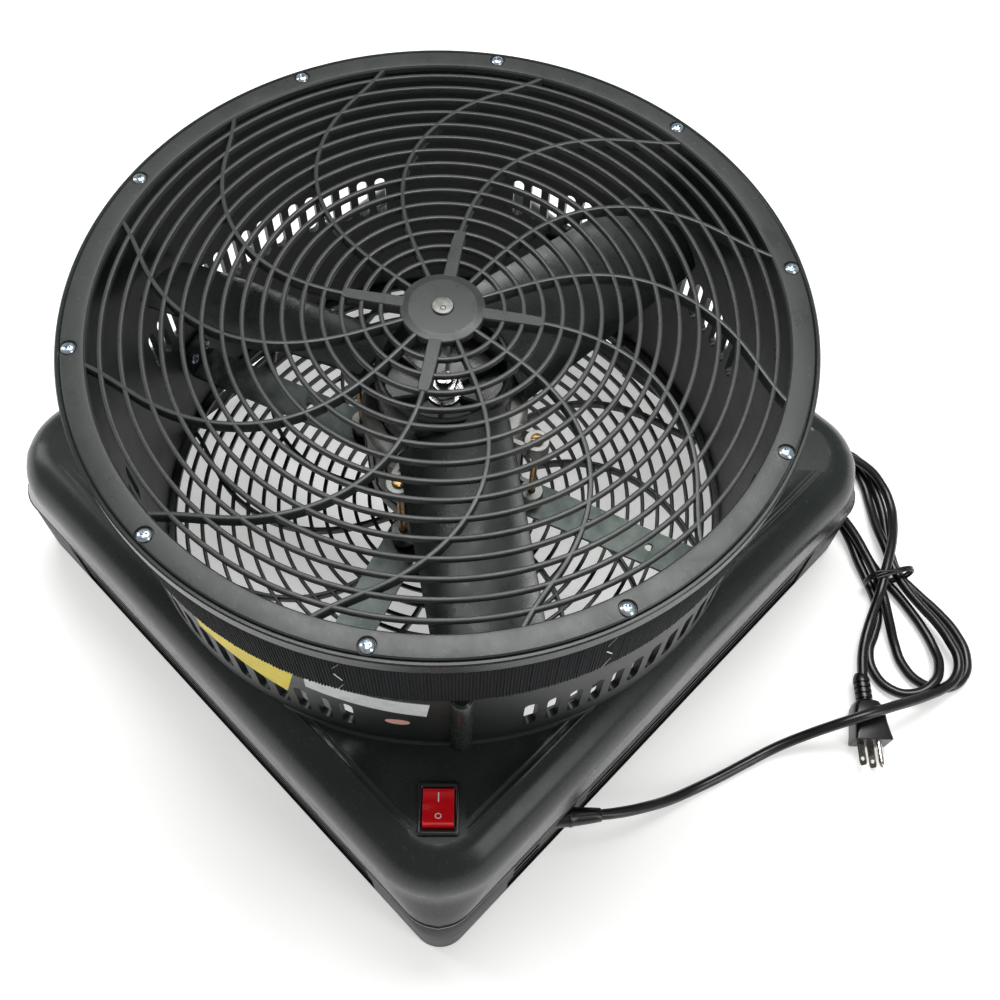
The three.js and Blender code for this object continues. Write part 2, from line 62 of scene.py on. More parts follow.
def direction(azimuth, elevation):
    """The way from the object to a viewer at that azimuth and elevation."""
    across = math.cos(elevation)
    return Vector((math.sin(azimuth) * across, -math.cos(azimuth) * across, math.sin(elevation)))


camera_data = bpy.data.cameras.new("camera")
camera_data.lens = 39.318
camera_data.sensor_width = 36
camera = bpy.data.objects.new("camera", camera_data)
bpy.context.scene.collection.objects.link(camera)
facing = (-direction(AZIMUTH, ELEVATION)).to_track_quat("-Z", "Y").to_matrix().to_4x4()
camera.matrix_world = Matrix.Translation(CAMERA_AT) @ facing @ Matrix.Rotation(LEAN, 4, "Z")
bpy.context.scene.camera = camera
print("camera at", tuple(round(x, 3) for x in CAMERA_AT))

# %% [markdown]
# ## Finishes: the tools
#
# A finish is a small network of nodes. Written by hand, a network is hard to read, so one class
# wraps a socket and lets plain arithmetic add the Math nodes, and one method adds any other node.

# %% Sockets that do arithmetic
class Wire:
    """The output of a node. Arithmetic on it adds Math nodes to the same finish."""

    def __init__(self, finish, socket):
        self.finish = finish
        self.socket = socket

    def _math(self, operation, *values):
        return self.finish.node("ShaderNodeMath", {"operation": operation}, values)

    def __add__(self, other):
        return self._math("ADD", self, other)

    def __sub__(self, other):
        return self._math("SUBTRACT", self, other)

    def __mul__(self, other):
        return self._math("MULTIPLY", self, other)


class Finish:
    """A material with a Principled shader, and the methods that build what feeds it."""

    def __init__(self, name, **constants):
        self.material = bpy.data.materials.new(name)
        self.material.use_nodes = True
        self.tree = self.material.node_tree
        self.shader = self.tree.nodes["Principled BSDF"]
        for key, value in constants.items():
            self.feed(key.replace("_", " "), value)

    def node(self, kind, settings=None, inputs=(), output=0):
        made = self.tree.nodes.new(kind)
        for key, value in (settings or {}).items():
            setattr(made, key, value)
        pairs = inputs.items() if isinstance(inputs, dict) else enumerate(inputs)
        for key, value in pairs:
            self._join(made.inputs[key], value)
        return Wire(self, made.outputs[output])

    def _join(self, socket, value):
        if isinstance(value, Wire):
            self.tree.links.new(value.socket, socket)
        else:
            socket.default_value = value

    def feed(self, name, value):
        if isinstance(value, tuple) and len(value) == 3:
            value = (*value, 1)
        self._join(self.shader.inputs[name], value)
        return self

    def position(self):
        return self.node("ShaderNodeTexCoord", output=3)

    def noise(self, scale, detail=3, roughness=0.5, stretch=None):
        where = self.position()
        if stretch:
            where = self.node("ShaderNodeMapping", {}, {"Vector": where, "Scale": stretch})
        return self.node("ShaderNodeTexNoise", {}, {"Vector": where, "Scale": scale, "Detail": detail,
                                                    "Roughness": roughness})

    def spread(self, factor, low, high):
        """Stretches the part of a noise between low and high to the whole way from black to white."""
        made = self.node("ShaderNodeValToRGB", {}, {"Fac": factor})
        black, white = made.socket.node.color_ramp.elements
        black.position, white.position = low, high
        return made

    def mix(self, factor, first, second):
        inputs = {"Factor": factor, 6: self._color(first), 7: self._color(second)}
        return self.node("ShaderNodeMix", {"data_type": "RGBA"}, inputs, output=2)

    def _color(self, value):
        return value if isinstance(value, Wire) else (*value, 1)

    def bump(self, height, strength, distance):
        inputs = {"Height": height, "Strength": strength, "Distance": distance}
        return self.feed("Normal", self.node("ShaderNodeBump", {}, inputs))


print("finish tools ready")

# %% [markdown]
# ## Finishes: plastics
#
# The base is moulded in one black plastic with a faint green cast. Up close such a wall is never one
# colour: it has cloudy patches where the mould was cooler, rub marks, fine dust, and a skin like
# orange peel. Noises of different sizes give those: a coarse one for colour, a finer one for gloss, a
# very fine one for bump, and one more for the dust.

# %% Moulded plastics
def plastic(name, dark, light, gloss, peel=0.12, grain=900.0, dust=0.0, wear=0.16, shine=0.5):
    """A moulded plastic. Its colour wanders between dark and light and its roughness round gloss.

    peel and grain are the depth and the fineness of its skin, dust is how much dust lies on it, wear is
    how far rub marks change its roughness, and shine is the strength of its reflection.
    """
    made = Finish(name, IOR=1.5, Specular_IOR_Level=shine)
    clouds = made.noise(9, 4, 0.6)
    rubs = made.noise(60, 5, 0.65)
    color = made.mix(made.spread(clouds, 0.35, 0.7), dark, light)
    if dust:
        specks = made.spread(made.noise(420, 2, 0.5), 0.66, 0.72)
        color = made.mix(specks * dust, color, (0.32, 0.33, 0.31))
    made.feed("Base Color", color)
    made.feed("Roughness", (rubs - 0.5) * wear + (clouds - 0.5) * 0.12 + gloss)
    made.bump(made.noise(grain, 3, 0.5), peel, 0.0004)
    return made.material


housing_plastic = plastic("housing_plastic", (0.013, 0.017, 0.015), (0.021, 0.026, 0.023), 0.27,
                          0.10, 700, 0.08, shine=0.30)
# A darker copy of the same moulded black: painted shade for the duct wall and for the intake grille and its
# rim.
painted_shade_plastic = plastic("painted_shade_plastic", (0.006, 0.009, 0.008), (0.011, 0.015, 0.013), 0.42,
                        0.10, 700, 0.05)
guard_plastic = plastic("guard_plastic", (0.030, 0.034, 0.033), (0.046, 0.051, 0.048), 0.32,
                        0.10, 800, 0.10, 0.4, 0.30)
# The skirt and its fittings are moulded in the base's black; this darker copy is painted shade on the low
# walls.
painted_shade_skirt_plastic = plastic("painted_shade_skirt_plastic", (0.005, 0.007, 0.006), (0.009, 0.012, 0.010), 0.44,
                        0.12, 700, 0.06, shine=0.15)
fan_plastic = plastic("fan_plastic", (0.010, 0.013, 0.012), (0.019, 0.024, 0.022), 0.30,
                      0.06, 500, wear=0.4, shine=0.8)
switch_plastic = plastic("switch_plastic", (0.004, 0.004, 0.005), (0.008, 0.008, 0.009), 0.24, 0.05, 1200)
cord_plastic = plastic("cord_plastic", (0.003, 0.003, 0.004), (0.007, 0.007, 0.008), 0.30, 0.08, 1500)
tie_plastic = plastic("tie_plastic", (0.003, 0.003, 0.003), (0.008, 0.008, 0.008), 0.36, 0.05, 1500)
rubber = plastic("foot_rubber", (0.006, 0.006, 0.006), (0.012, 0.012, 0.011), 0.75, 0.25, 1300)
print("plastics:", len(bpy.data.materials))

# %% [markdown]
# ## Finishes: metals
#
# Zinc plate on the screws is bluish and even, the zinc on the straps is cloudy and painted near black as
# painted shade under the motor, and the motor's end shields are bare castings with a coarse skin. A metal
# has hardly any colour of its own, so the differences are mostly in the roughness and the bump.

# %% Metals
def metal(name, dark, light, gloss, patch, skin, relief):
    """A bare or plated metal: patch is the size of its stains, skin that of its surface, per metre."""
    made = Finish(name, Metallic=1.0)
    stains = made.noise(patch, 5, 0.6)
    made.feed("Base Color", made.mix(made.spread(stains, 0.35, 0.65), dark, light))
    made.feed("Roughness", (stains - 0.5) * 0.3 + gloss)
    made.bump(made.noise(skin, 4, 0.6), relief, 0.0003)
    return made.material


screw_zinc = metal("screw_zinc", (0.42, 0.50, 0.58), (0.66, 0.74, 0.80), 0.26, 500, 2500, 0.10)
# The straps' zinc is painted near black: painted shade for the straps under the motor. The cloudy stains are
# its own.
strap_zinc = metal("strap_zinc", (0.026, 0.032, 0.029), (0.075, 0.086, 0.080), 0.36, 45, 1500, 0.12)
cast_shield = metal("cast_shield", (0.26, 0.265, 0.25), (0.42, 0.425, 0.40), 0.50, 70, 900, 0.45)
bright_steel = metal("bright_steel", (0.50, 0.50, 0.50), (0.74, 0.74, 0.73), 0.22, 200, 3000, 0.08)
bolt_brass = metal("bolt_brass", (0.38, 0.24, 0.09), (0.66, 0.45, 0.20), 0.36, 300, 2500, 0.10)
hub_aluminium = metal("hub_aluminium", (0.10, 0.10, 0.095), (0.19, 0.19, 0.18), 0.44, 300, 2200, 0.15)
prong_nickel = metal("prong_nickel", (0.56, 0.53, 0.46), (0.80, 0.78, 0.72), 0.18, 160, 3000, 0.04)
capacitor_can = metal("capacitor_can", (0.5, 0.5, 0.5), (0.66, 0.66, 0.66), 0.36, 60, 2000, 0.06)
print("metals: 8")

# %% [markdown]
# ## Finishes: everything else
#
# The motor's can is painted, its winding is varnished copper with a fine winding pattern, the hook
# tape is a black weave, the rocker is clear gloss red, and the labels are plain paper.

# %% Paint, winding, tape, rocker and paper
motor_paint = plastic("motor_paint", (0.010, 0.011, 0.011), (0.020, 0.022, 0.022), 0.32, 0.30, 260)

winding = Finish("winding", Roughness=0.35, Metallic=0.8)
strands = winding.node("ShaderNodeTexWave", {"bands_direction": "Z"},
                       {"Vector": winding.position(), "Scale": 260.0, "Distortion": 1.5, "Detail": 2.0})
winding.feed("Base Color", winding.mix(strands, (0.20, 0.07, 0.025), (0.48, 0.22, 0.09)))
winding.bump(strands, 0.4, 0.0005)
winding = winding.material

hook_tape = Finish("hook_tape", IOR=1.45, Specular_IOR_Level=0.2)
fuzz = hook_tape.noise(700, 4, 0.7, stretch=(1, 1, 0.25))
hook_tape.feed("Base Color", hook_tape.mix(fuzz, (0.003, 0.004, 0.005), (0.011, 0.012, 0.015)))
hook_tape.feed("Roughness", fuzz * 0.3 + 0.55)
hook_tape.bump(fuzz, 0.6, 0.0006)
hook_tape = hook_tape.material

rocker_red = Finish("rocker_red", IOR=1.5, Coat_Roughness=0.05)
depth = rocker_red.noise(120, 3, 0.5)
rocker_red.feed("Base Color", rocker_red.mix(depth, (0.52, 0.002, 0.006), (0.68, 0.006, 0.012)))
rocker_red.feed("Roughness", depth * 0.12 + 0.14)
rocker_red = rocker_red.material


def paper(name, color, worn):
    """A printed label's plain stock, a little dirty."""
    made = Finish(name)
    dirt = made.noise(70, 5, 0.7)
    made.feed("Base Color", made.mix(made.spread(dirt, 0.4, 0.75), color, worn))
    made.feed("Roughness", dirt * 0.2 + 0.35)
    made.bump(dirt, 0.15, 0.0003)
    return made.material


yellow_paper = paper("yellow_paper", (0.78, 0.62, 0.004), (0.62, 0.46, 0.01))
white_paper = paper("white_paper", (0.62, 0.64, 0.64), (0.45, 0.46, 0.45))
pink_paper = paper("pink_paper", (0.66, 0.34, 0.30), (0.55, 0.30, 0.26))
white_print = paper("white_print", (0.80, 0.80, 0.80), (0.70, 0.70, 0.70))
thread_white = paper("thread_white", (0.72, 0.72, 0.70), (0.60, 0.60, 0.58))
print("materials:", len(bpy.data.materials))

# %% [markdown]
# ## Shapes: the tools
#
# Nearly every piece here is a surface through rings of points: a lathe turns one outline round the
# axis, a sweep carries one section along a path, a loft joins unequal rings. So one function joins
# rings with faces and the others only say where the rings are. Lengths are in millimetres, as in a
# workshop drawing, and turn into metres when the piece is made.

# %% Rings of points
TURN = 2 * math.pi
SQUARE = [(-1, -1), (1, -1), (1, 1), (-1, 1)]


def skin(rings, closed=True, looped=False):
    """Points and faces of the surface through rings of equal length."""
    points = [p for ring in rings for p in ring]
    n = len(rings[0])
    faces = []
    for i in range(len(rings) if looped else len(rings) - 1):
        below, above = i * n, (i + 1) % len(rings) * n
        for j in range(n if closed else n - 1):
            k = (j + 1) % n
            faces.append((below + j, below + k, above + k, above + j))
    if closed and not looped:
        faces.append(tuple(reversed(range(n))))
        faces.append(tuple(range(len(points) - n, len(points))))
    return points, faces


def polar(radius, degrees, z=0.0):
    angle = math.radians(degrees)
    return Vector((radius * math.cos(angle), radius * math.sin(angle), z))


def revolve(outline, segments=128, solid=False):
    """Turns an outline of (radius, z) round the axis. A solid's outline starts and ends on the axis."""
    rings = [[polar(r, 360 * i / segments, z) for r, z in outline] for i in range(segments)]
    return skin(rings, closed=not solid, looped=True)


def rounded_square(half, z, radius, corner_steps, side_steps):
    """A ring of points round a square with round corners."""
    ring = []
    middle = half - radius
    for quarter in range(4):
        spin = Matrix.Rotation(quarter * TURN / 4, 3, "Z")
        arc = [Vector((middle, middle, 0)) + polar(radius, 90 * k / corner_steps)
               for k in range(corner_steps + 1)]
        start, end = arc[-1], Vector((-middle, half, 0))
        side = [start.lerp(end, k / side_steps) for k in range(1, side_steps)]
        ring += [spin @ p + Vector((0, 0, z)) for p in arc + side]
    return ring


def rounded_oblong(half_a, half_b, radius, steps):
    """Pairs of coordinates round an oblong with round corners."""
    pairs = []
    for quarter, (sign_a, sign_b) in enumerate([(1, 1), (-1, 1), (-1, -1), (1, -1)]):
        for k in range(steps + 1):
            a = math.radians(90 * (quarter + k / steps))
            pairs.append((sign_a * (half_a - radius) + radius * math.cos(a),
                          sign_b * (half_b - radius) + radius * math.sin(a)))
    return pairs


def sweep(path, section, widths=None):
    """Carries a flat section (across, up) along a level path; widths scale it sideways."""
    rings = []
    for i, point in enumerate(path):
        ahead = path[min(i + 1, len(path) - 1)] - path[max(i - 1, 0)]
        across = Vector((-ahead.y, ahead.x, 0)).normalized()
        scale = widths[i] if widths else 1
        rings.append([point + across * x * scale + Vector((0, 0, z)) for x, z in section])
    return skin(rings)


class Shape:
    """Points and faces gathered in millimetres until they become one piece."""

    def __init__(self, *parts):
        self.points, self.faces = [], []
        for part in parts:
            self.add(part)

    def add(self, part, place=None):
        points, faces = part
        start = len(self.points)
        self.points += [place @ Vector(p) if place else Vector(p) for p in points]
        self.faces += [tuple(start + i for i in face) for face in faces]
        return self

    def mesh(self, name, finish=None, sharp=35):
        data = bpy.data.meshes.new(name)
        data.from_pydata([p / 1000 for p in self.points], [], self.faces)
        clean = bmesh.new()
        clean.from_mesh(data)
        bmesh.ops.remove_doubles(clean, verts=clean.verts, dist=2e-6)
        bmesh.ops.recalc_face_normals(clean, faces=clean.faces)
        clean.to_mesh(data)
        clean.free()
        if finish:
            data.materials.append(finish)
        shade(data, sharp)
        return data


def shade(data, sharp=35):
    data.shade_smooth()
    data.set_sharp_from_angle(angle=math.radians(sharp))


def piece(name, data, body="housing", replaces=()):
    """Makes the object, rides it on its CAD body and says which CAD nodes it stands for."""
    made = bpy.data.objects.new(name, data)
    bpy.context.scene.collection.objects.link(made)
    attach(made, body)
    if replaces:
        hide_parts(*replaces)
    return made


def round_curve(name, thick, smoothness, finish):
    """An empty curve that its points will turn into a round lead of that thickness."""
    curve = bpy.data.curves.new(name, "CURVE")
    curve.dimensions = "3D"
    curve.bevel_depth = thick / 2000
    curve.bevel_resolution = smoothness
    curve.use_fill_caps = True
    curve.materials.append(finish)
    return curve


def carve(data, tool, operation="DIFFERENCE"):
    """Cuts one mesh with another and returns the new mesh."""
    scene = bpy.context.scene
    blank, knife = bpy.data.objects.new("blank", data), bpy.data.objects.new("knife", tool)
    scene.collection.objects.link(blank)
    scene.collection.objects.link(knife)
    cut = blank.modifiers.new("cut", "BOOLEAN")
    cut.operation, cut.solver, cut.object = operation, "EXACT", knife
    result = bpy.data.meshes.new_from_object(blank.evaluated_get(bpy.context.evaluated_depsgraph_get()))
    bpy.data.objects.remove(blank)
    bpy.data.objects.remove(knife)
    shade(result)
    return result


def block(x0, x1, y0, y1, z0, z1):
    """Points and faces of a box, as a cutting tool or the core of a bigger shape."""
    low = [(x0, y0, z0), (x1, y0, z0), (x1, y1, z0), (x0, y1, z0)]
    return skin([low, [(x, y, z1) for x, y, _ in low]])


def turn(degrees, axis="Z"):
    return Matrix.Rotation(math.radians(degrees), 4, axis)


def shift(x=0.0, y=0.0, z=0.0):
    return Matrix.Translation((x, y, z))


def out_at(angle, radius):
    """A place turned to that angle about the machine's axis and moved out to that radius."""
    return turn(angle) @ shift(radius)


def turned(outline, segments, place=None):
    """A solid turned on the lathe and put in its place."""
    return Shape().add(revolve(outline, segments, solid=True), place)


def drill(radius, low, high, segments, place=None):
    """A round bar along the lathe's axis, to cut a hole with."""
    return turned([(0, low), (radius, low), (radius, high), (0, high)], segments, place)


def everywhere(count, first=0.0):
    return [first + 360 * k / count for k in range(count)]


print("shape tools ready")

# %% [markdown]
# ## The mains cord
#
# The cord is one round lead, 8 mm thick. It leaves the base's side through a moulded boot, drops to
# the floor, humps over its own plug and then runs up and down a tied hank three times before it
# ends in the plug. A curve with a bevel is the right tool: the points say where the middle of the
# lead lies, the curve keeps it smooth, and its length can be measured.

# %% Route of the cord
CORD_THICK = 8.0
CORD_EXIT = Vector((237, -112, 40))
CORD_TURN, CORD_DIP = 50, 3
PLUG_AT, PLUG_TURN = Vector((341, 128, 11)), -46

lead = [(246.5, -100.7, 39.2), (254.6, -91, 38.4), (264, -77, 33), (273, -60, 24), (281, -42, 14),
        (289, -20, 6), (297, 2, 4.6), (305, 26, 4.6), (314, 51, 7.5), (324, 71, 15), (333, 86, 23.5),
        (341, 99, 30), (349, 113, 33), (358.5, 132, 30), (366.5, 149, 24), (373.5, 165.5, 18),
        (379, 181, 13.5), (381, 195, 12.8), (374.5, 210, 12.8)]
first_run = [(360, 219, 12.8), (343, 225, 13), (327, 228, 13), (309, 232.5, 13), (291, 240, 13),
             (273, 253, 12), (255, 267, 8), (239, 282, 4.8), (223, 295, 4.6)]
first_fold = [(205, 303, 4.6), (187, 300, 4.6), (175.5, 285, 4.6), (177, 266.5, 4.6), (190, 254, 4.6),
              (208.5, 250.5, 4.6)]
first_return = [(229, 251.5, 4.6), (249, 246.5, 4.6), (268, 238, 4.6), (286, 231.5, 4.8)]
loop_b = [(304, 228, 5), (321, 223.5, 4.8), (338, 217.5, 5), (353.5, 209, 6.5), (366, 196.5, 10.5),
          (371, 179, 12.7), (364.5, 162, 9), (349.5, 154.5, 5.2), (332, 157, 4.6), (319, 168.5, 4.6),
          (313, 184, 4.6), (306.5, 198.5, 4.6), (295.5, 210.5, 4.6)]
second_run = [(280, 220, 5), (264, 229, 6), (247, 239.5, 7.5), (228, 246.5, 10.5), (207, 249, 12.6)]
second_fold = [(188.5, 256, 12.6), (178.5, 272.5, 12.6), (180.5, 292, 12.6), (195, 304, 12.6),
               (214, 305, 11)]
second_return = [(233, 297, 6), (251, 284, 4.6), (266, 268.5, 4.6), (280, 255, 4.6), (296.5, 244, 4.6)]
loop_a = [(317, 240.5, 4.6), (339, 238.5, 4.6), (360, 233.5, 4.6), (377.5, 222.5, 4.6), (386, 205, 4.6),
          (380, 186.5, 4.6), (363.5, 176.5, 4.6), (345, 179, 4.6), (329.5, 189, 5.5), (316, 199.5, 9)]
third_run = [(300, 212, 12.6), (282.5, 225, 13), (264, 234.5, 14), (245.5, 242, 16), (226, 246, 19)]
third_fold = [(206, 248.5, 20.6), (190, 260, 20.8), (186.5, 279, 20.8), (198, 295, 20.6)]
tail = [(216.5, 301.5, 18.5), (236, 299, 14.5), (252, 290, 12.8), (264, 276, 14.5), (272.5, 260, 19.8),
        (280, 244, 21.6), (287, 228, 21.6), (294, 212, 20.5), (300, 197, 16), (305.5, 183, 12.6),
        (311, 170, 11.4), (317, 158.5, 11.6), (327, 144, 12.3)]
route = (lead + first_run + first_fold + first_return + loop_b + second_run + second_fold + second_return
         + loop_a + third_run + third_fold + tail)
print("points on the cord:", len(route))

# %% Cord
cord_curve = round_curve("mains_cord", CORD_THICK, 4, cord_plastic)
cord_curve.resolution_u = 8
spline = cord_curve.splines.new("BEZIER")
spline.bezier_points.add(len(route) - 1)
for knot, at in zip(spline.bezier_points, route):
    knot.co = Vector(at) / 1000
    knot.handle_left_type = knot.handle_right_type = "AUTO"
mains_cord = piece("mains_cord", cord_curve, replaces=["cord_lead", "cord_hank", "cord_tail"])

# %% [markdown]
# The boot where the lead leaves the base is a smooth tapered sleeve. It is turned on the lathe as one
# outline, with a shallow shoulder at the wall, and then pointed along the lead.

# %% Strain relief boot
BOOT_R, BOOT_END_R = 7.3, 4.6
boot_outline = [(0, -14), (6.9, -14), (6.9, 2.2), (BOOT_R, 2.6), (BOOT_R, 4.4), (6.8, 5.4), (6.5, 9),
                (6.0, 16), (5.4, 22), (5.0, 26), (BOOT_END_R, 26.5), (0, 26.5)]
along_cord = shift(*CORD_EXIT) @ turn(CORD_TURN) @ turn(90 + CORD_DIP, "Y")
boot_mesh = turned(boot_outline, 32, along_cord).mesh("cord_boot", cord_plastic)
boot = piece("cord_boot", boot_mesh, replaces=["cord_strain_relief"])
print("boot: tapered from", 2 * BOOT_R, "to", 2 * BOOT_END_R)

# %% [markdown]
# The plug is moulded onto the lead: a ribbed sleeve, then a body that widens to the face with two
# flat blades and a round earth pin. Its body is a loft through rounded sections. The plug lies rolled
# over, so the prongs have a roll of their own about its axis.

# %% Plug
PLUG_FACE = 33.0
PLUG_ROLL = 143
BLADE_WIDE, BLADE_THICK, BLADE_ASIDE, BLADE_UP, PIN_DOWN = 6.3, 1.5, 6.35, 4.5, 6.5
plug_frame = shift(*PLUG_AT) @ turn(PLUG_TURN)
prong_frame = plug_frame @ turn(PLUG_ROLL, "X")
sections = [(0, 15, 14, 5), (1.5, 19, 18, 5), (5, 22.5, 20, 4.5), (11, 25, 21, 4), (19, 25.5, 21.5, 3.6),
            (26, 27.5, 22, 3.2), (31.5, 29.5, 22, 2.6), (PLUG_FACE - 0.5, 29.3, 21.8, 2.2),
            (PLUG_FACE, 28, 20.6, 1.8)]
plug_rings = [[(x, y, z) for y, z in rounded_oblong(wide / 2, tall / 2, corner, 5)]
              for x, wide, tall, corner in sections]
sleeve = [(0, -23), (4.6, -23), (5.4, -21.5)]
for k in range(4):
    along = -18.5 + k * 4.4
    sleeve += [(6.6, along), (6.6, along + 2.9), (5.2, along + 3.2), (5.2, along + 4.0)]
sleeve += [(6.4, 0.5), (0, 1)]
plug_shape = Shape(skin(plug_rings)).add(revolve(sleeve, 32, solid=True), turn(90, "Y"))
plug_shape.points = [plug_frame @ p for p in plug_shape.points]
plug = piece("plug", plug_shape.mesh("plug", cord_plastic, 28), replaces=["plug_body"])

blade_rows = [(0.1, BLADE_WIDE, BLADE_THICK), (15, BLADE_WIDE, BLADE_THICK), (16.6, 5.4, 1.2),
              (17.4, 3.8, 0.7)]
for name, side in (("plug_blade_line", -BLADE_ASIDE), ("plug_blade_neutral", BLADE_ASIDE)):
    rings = [[(PLUG_FACE + x, y * thick / 2, z * wide / 2) for y, z in SQUARE]
             for x, wide, thick in blade_rows]
    blade_shape = Shape().add(skin(rings), prong_frame @ shift(0, side, BLADE_UP))
    hole = drill(1.6, -9, 9, 20, prong_frame @ shift(PLUG_FACE + 12.5, side, BLADE_UP) @ turn(90, "X"))
    blade = carve(blade_shape.mesh(name, prong_nickel), hole.mesh("drill"))
    piece(name + "_plated", blade, replaces=[name])

pin_outline = [(0, 0.1), (2.38, 0.1), (2.38, 16), (2.2, 18), (1.5, 19.8), (0.6, 20.6), (0, 20.7)]
pin = turned(pin_outline, 24, prong_frame @ shift(PLUG_FACE, 0, -PIN_DOWN) @ turn(90, "Y"))
piece("plug_pin_ground_plated", pin.mesh("pin", prong_nickel), replaces=["plug_pin_ground"])
print("plug made with 3 prongs")

# %% [markdown]
# A thin plastic tie is wound twice round the hank at its waist, and one end of it stands out.

# %% Tie
TIE_AT = Vector((291.5, 230.5, 14.0))
TIE_TURN = 150
TIE_WIDE, TIE_TALL, TIE_THICK = 20.5, 12.6, 2.4
TIE_STEPS, STEPS_PER_TURN, STEP_ALONG = 52, 25, 0.1
tie_loop = round_curve("hank_tie", TIE_THICK, 2, tie_plastic)
along_hank, across = polar(1, TIE_TURN), polar(1, TIE_TURN + 90)
ring_points = []
for k in range(TIE_STEPS):
    a = TURN * k / STEPS_PER_TURN + 0.9
    wide = TIE_WIDE * math.copysign(abs(math.cos(a)) ** 0.7, math.cos(a))
    tall = TIE_TALL * math.copysign(abs(math.sin(a)) ** 0.8, math.sin(a))
    drift = (k - TIE_STEPS / 2) * STEP_ALONG
    ring_points.append(TIE_AT + across * wide + along_hank * drift + Vector((0, 0, tall)))
last_point = ring_points[-1]
ring_points += [last_point + Vector(away) for away in ((5, 4, 1.5), (12, 13, 1), (16, 19, -2))]
tie_spline = tie_loop.splines.new("POLY")
tie_spline.points.add(len(ring_points) - 1)
for point, at in zip(tie_spline.points, ring_points):
    point.co = (*(at / 1000), 1)
tie = piece("hank_tie", tie_loop, replaces=["cable_tie"])
print("tie at", tuple(TIE_AT))

# %% [markdown]
# ## The base
#
# The upper half of the base is one moulding: a flat deck with a thin double bead along its straight
# sides, a big soft shoulder that rolls over to the widest part, and corners that flare out again
# towards the lip. A loft does that: each ring is a rounded square with its own size, height and corner
# radius. The round hole for the duct is then cut through it.

# %% Shoulder of the base
DECK_TOP, DECK_HALF = 145.0, 211.0
WIDE_HALF, WIDE_Z = 237.0, 113.0
SPLIT_Z = 78.0
WALL = 4.0
ARC_STEPS, SIDE_STEPS = 14, 8
DUCT_HOLE_R = 219.5
BEAD_ROWS = range(2, 9)
SEAM_PUSH = 1.0012


def shoulder_rings(inset):
    """Half side, height and corner radius of each ring from the deck down to the lip."""
    deck, half, top = DECK_HALF - inset, WIDE_HALF - inset, DECK_TOP - inset
    rings = [(140, top, 20), (190, top, 24)]
    if not inset:
        rings += [(203.5, top, 26), (204.2, top + 0.7, 26), (205.6, top + 0.7, 26),
                  (206.3, top + 0.1, 26), (208.7, top + 0.1, 27), (209.4, top + 0.7, 27),
                  (210.4, top + 0.6, 28)]
    steps = 12
    for k in range(steps + 1):
        a = math.pi / 2 * k / steps
        rings.append((deck + (half - deck) * math.sin(a), WIDE_Z + (top - WIDE_Z) * math.cos(a),
                      28 + 24 * math.sin(a) - inset / 2))
    rings += [(half + flare, z, radius - inset / 2)
              for flare, z, radius in ((0.5, 104, 47), (1.0, 95, 39), (1.3, 86, 32))]
    if not inset:
        rings += [(half + 1.4, SPLIT_Z + 3.2, 29), (half + 2.0, SPLIT_Z + 2.4, 28.5),
                  (half + 2.0, SPLIT_Z + 0.4, 28)]
    rings.append((half + 1.5, SPLIT_Z, 28 - inset / 2))
    return rings


outer = [rounded_square(*ring, ARC_STEPS, SIDE_STEPS) for ring in shoulder_rings(0)]
inner = [rounded_square(*ring, ARC_STEPS, SIDE_STEPS) for ring in reversed(shoulder_rings(WALL))]
quarter_columns = ARC_STEPS + SIDE_STEPS
# The bead is flattened round the corners, and a faint seam runs down the middle of each corner.
for row in BEAD_ROWS:
    for column in range(4 * quarter_columns):
        if column % quarter_columns <= ARC_STEPS:
            outer[row][column].z = DECK_TOP
for ring in outer[BEAD_ROWS.stop:]:
    for quarter in range(4):
        ring[ARC_STEPS // 2 + quarter_columns * quarter] *= SEAM_PUSH
shoulder = Shape(skin(outer + inner, looped=True)).mesh("shoulder", housing_plastic, 30)
duct_hole = drill(DUCT_HOLE_R, 60, 200, 190).mesh("duct_hole")
shoulder = carve(shoulder, duct_hole)
piece("base_shoulder", shoulder, replaces=["upper_housing"])
print("shoulder faces:", len(shoulder.polygons))

# %% [markdown]
# The lower half is a straight skirt. Its four corners stand proud as feet, and the wall between
# them is set back and slotted, because the fan draws its air in from under the base.

# %% Skirt of the base
SKIRT_LOW, SKIRT_TOP = 4.0, 77.7
BASE_HALF = 239.0
SLOT_ROWS, SLOT_HIGH = (16, 34, 52), 12
outside = [(BASE_HALF - 1.2, SKIRT_LOW, 20), (BASE_HALF - 0.3, SKIRT_LOW + 0.3, 20.6),
           (BASE_HALF, SKIRT_LOW + 1.2, 21), (BASE_HALF - 0.2, 40, 24), (BASE_HALF - 0.5, SKIRT_TOP - 1, 28),
           (BASE_HALF - 1.2, SKIRT_TOP, 27.5)]
inside = [(BASE_HALF - 5, SKIRT_TOP, 25), (BASE_HALF - 5, SKIRT_LOW, 18)]
skirt = Shape(skin([rounded_square(*ring, ARC_STEPS, SIDE_STEPS) for ring in outside + inside], looped=True))
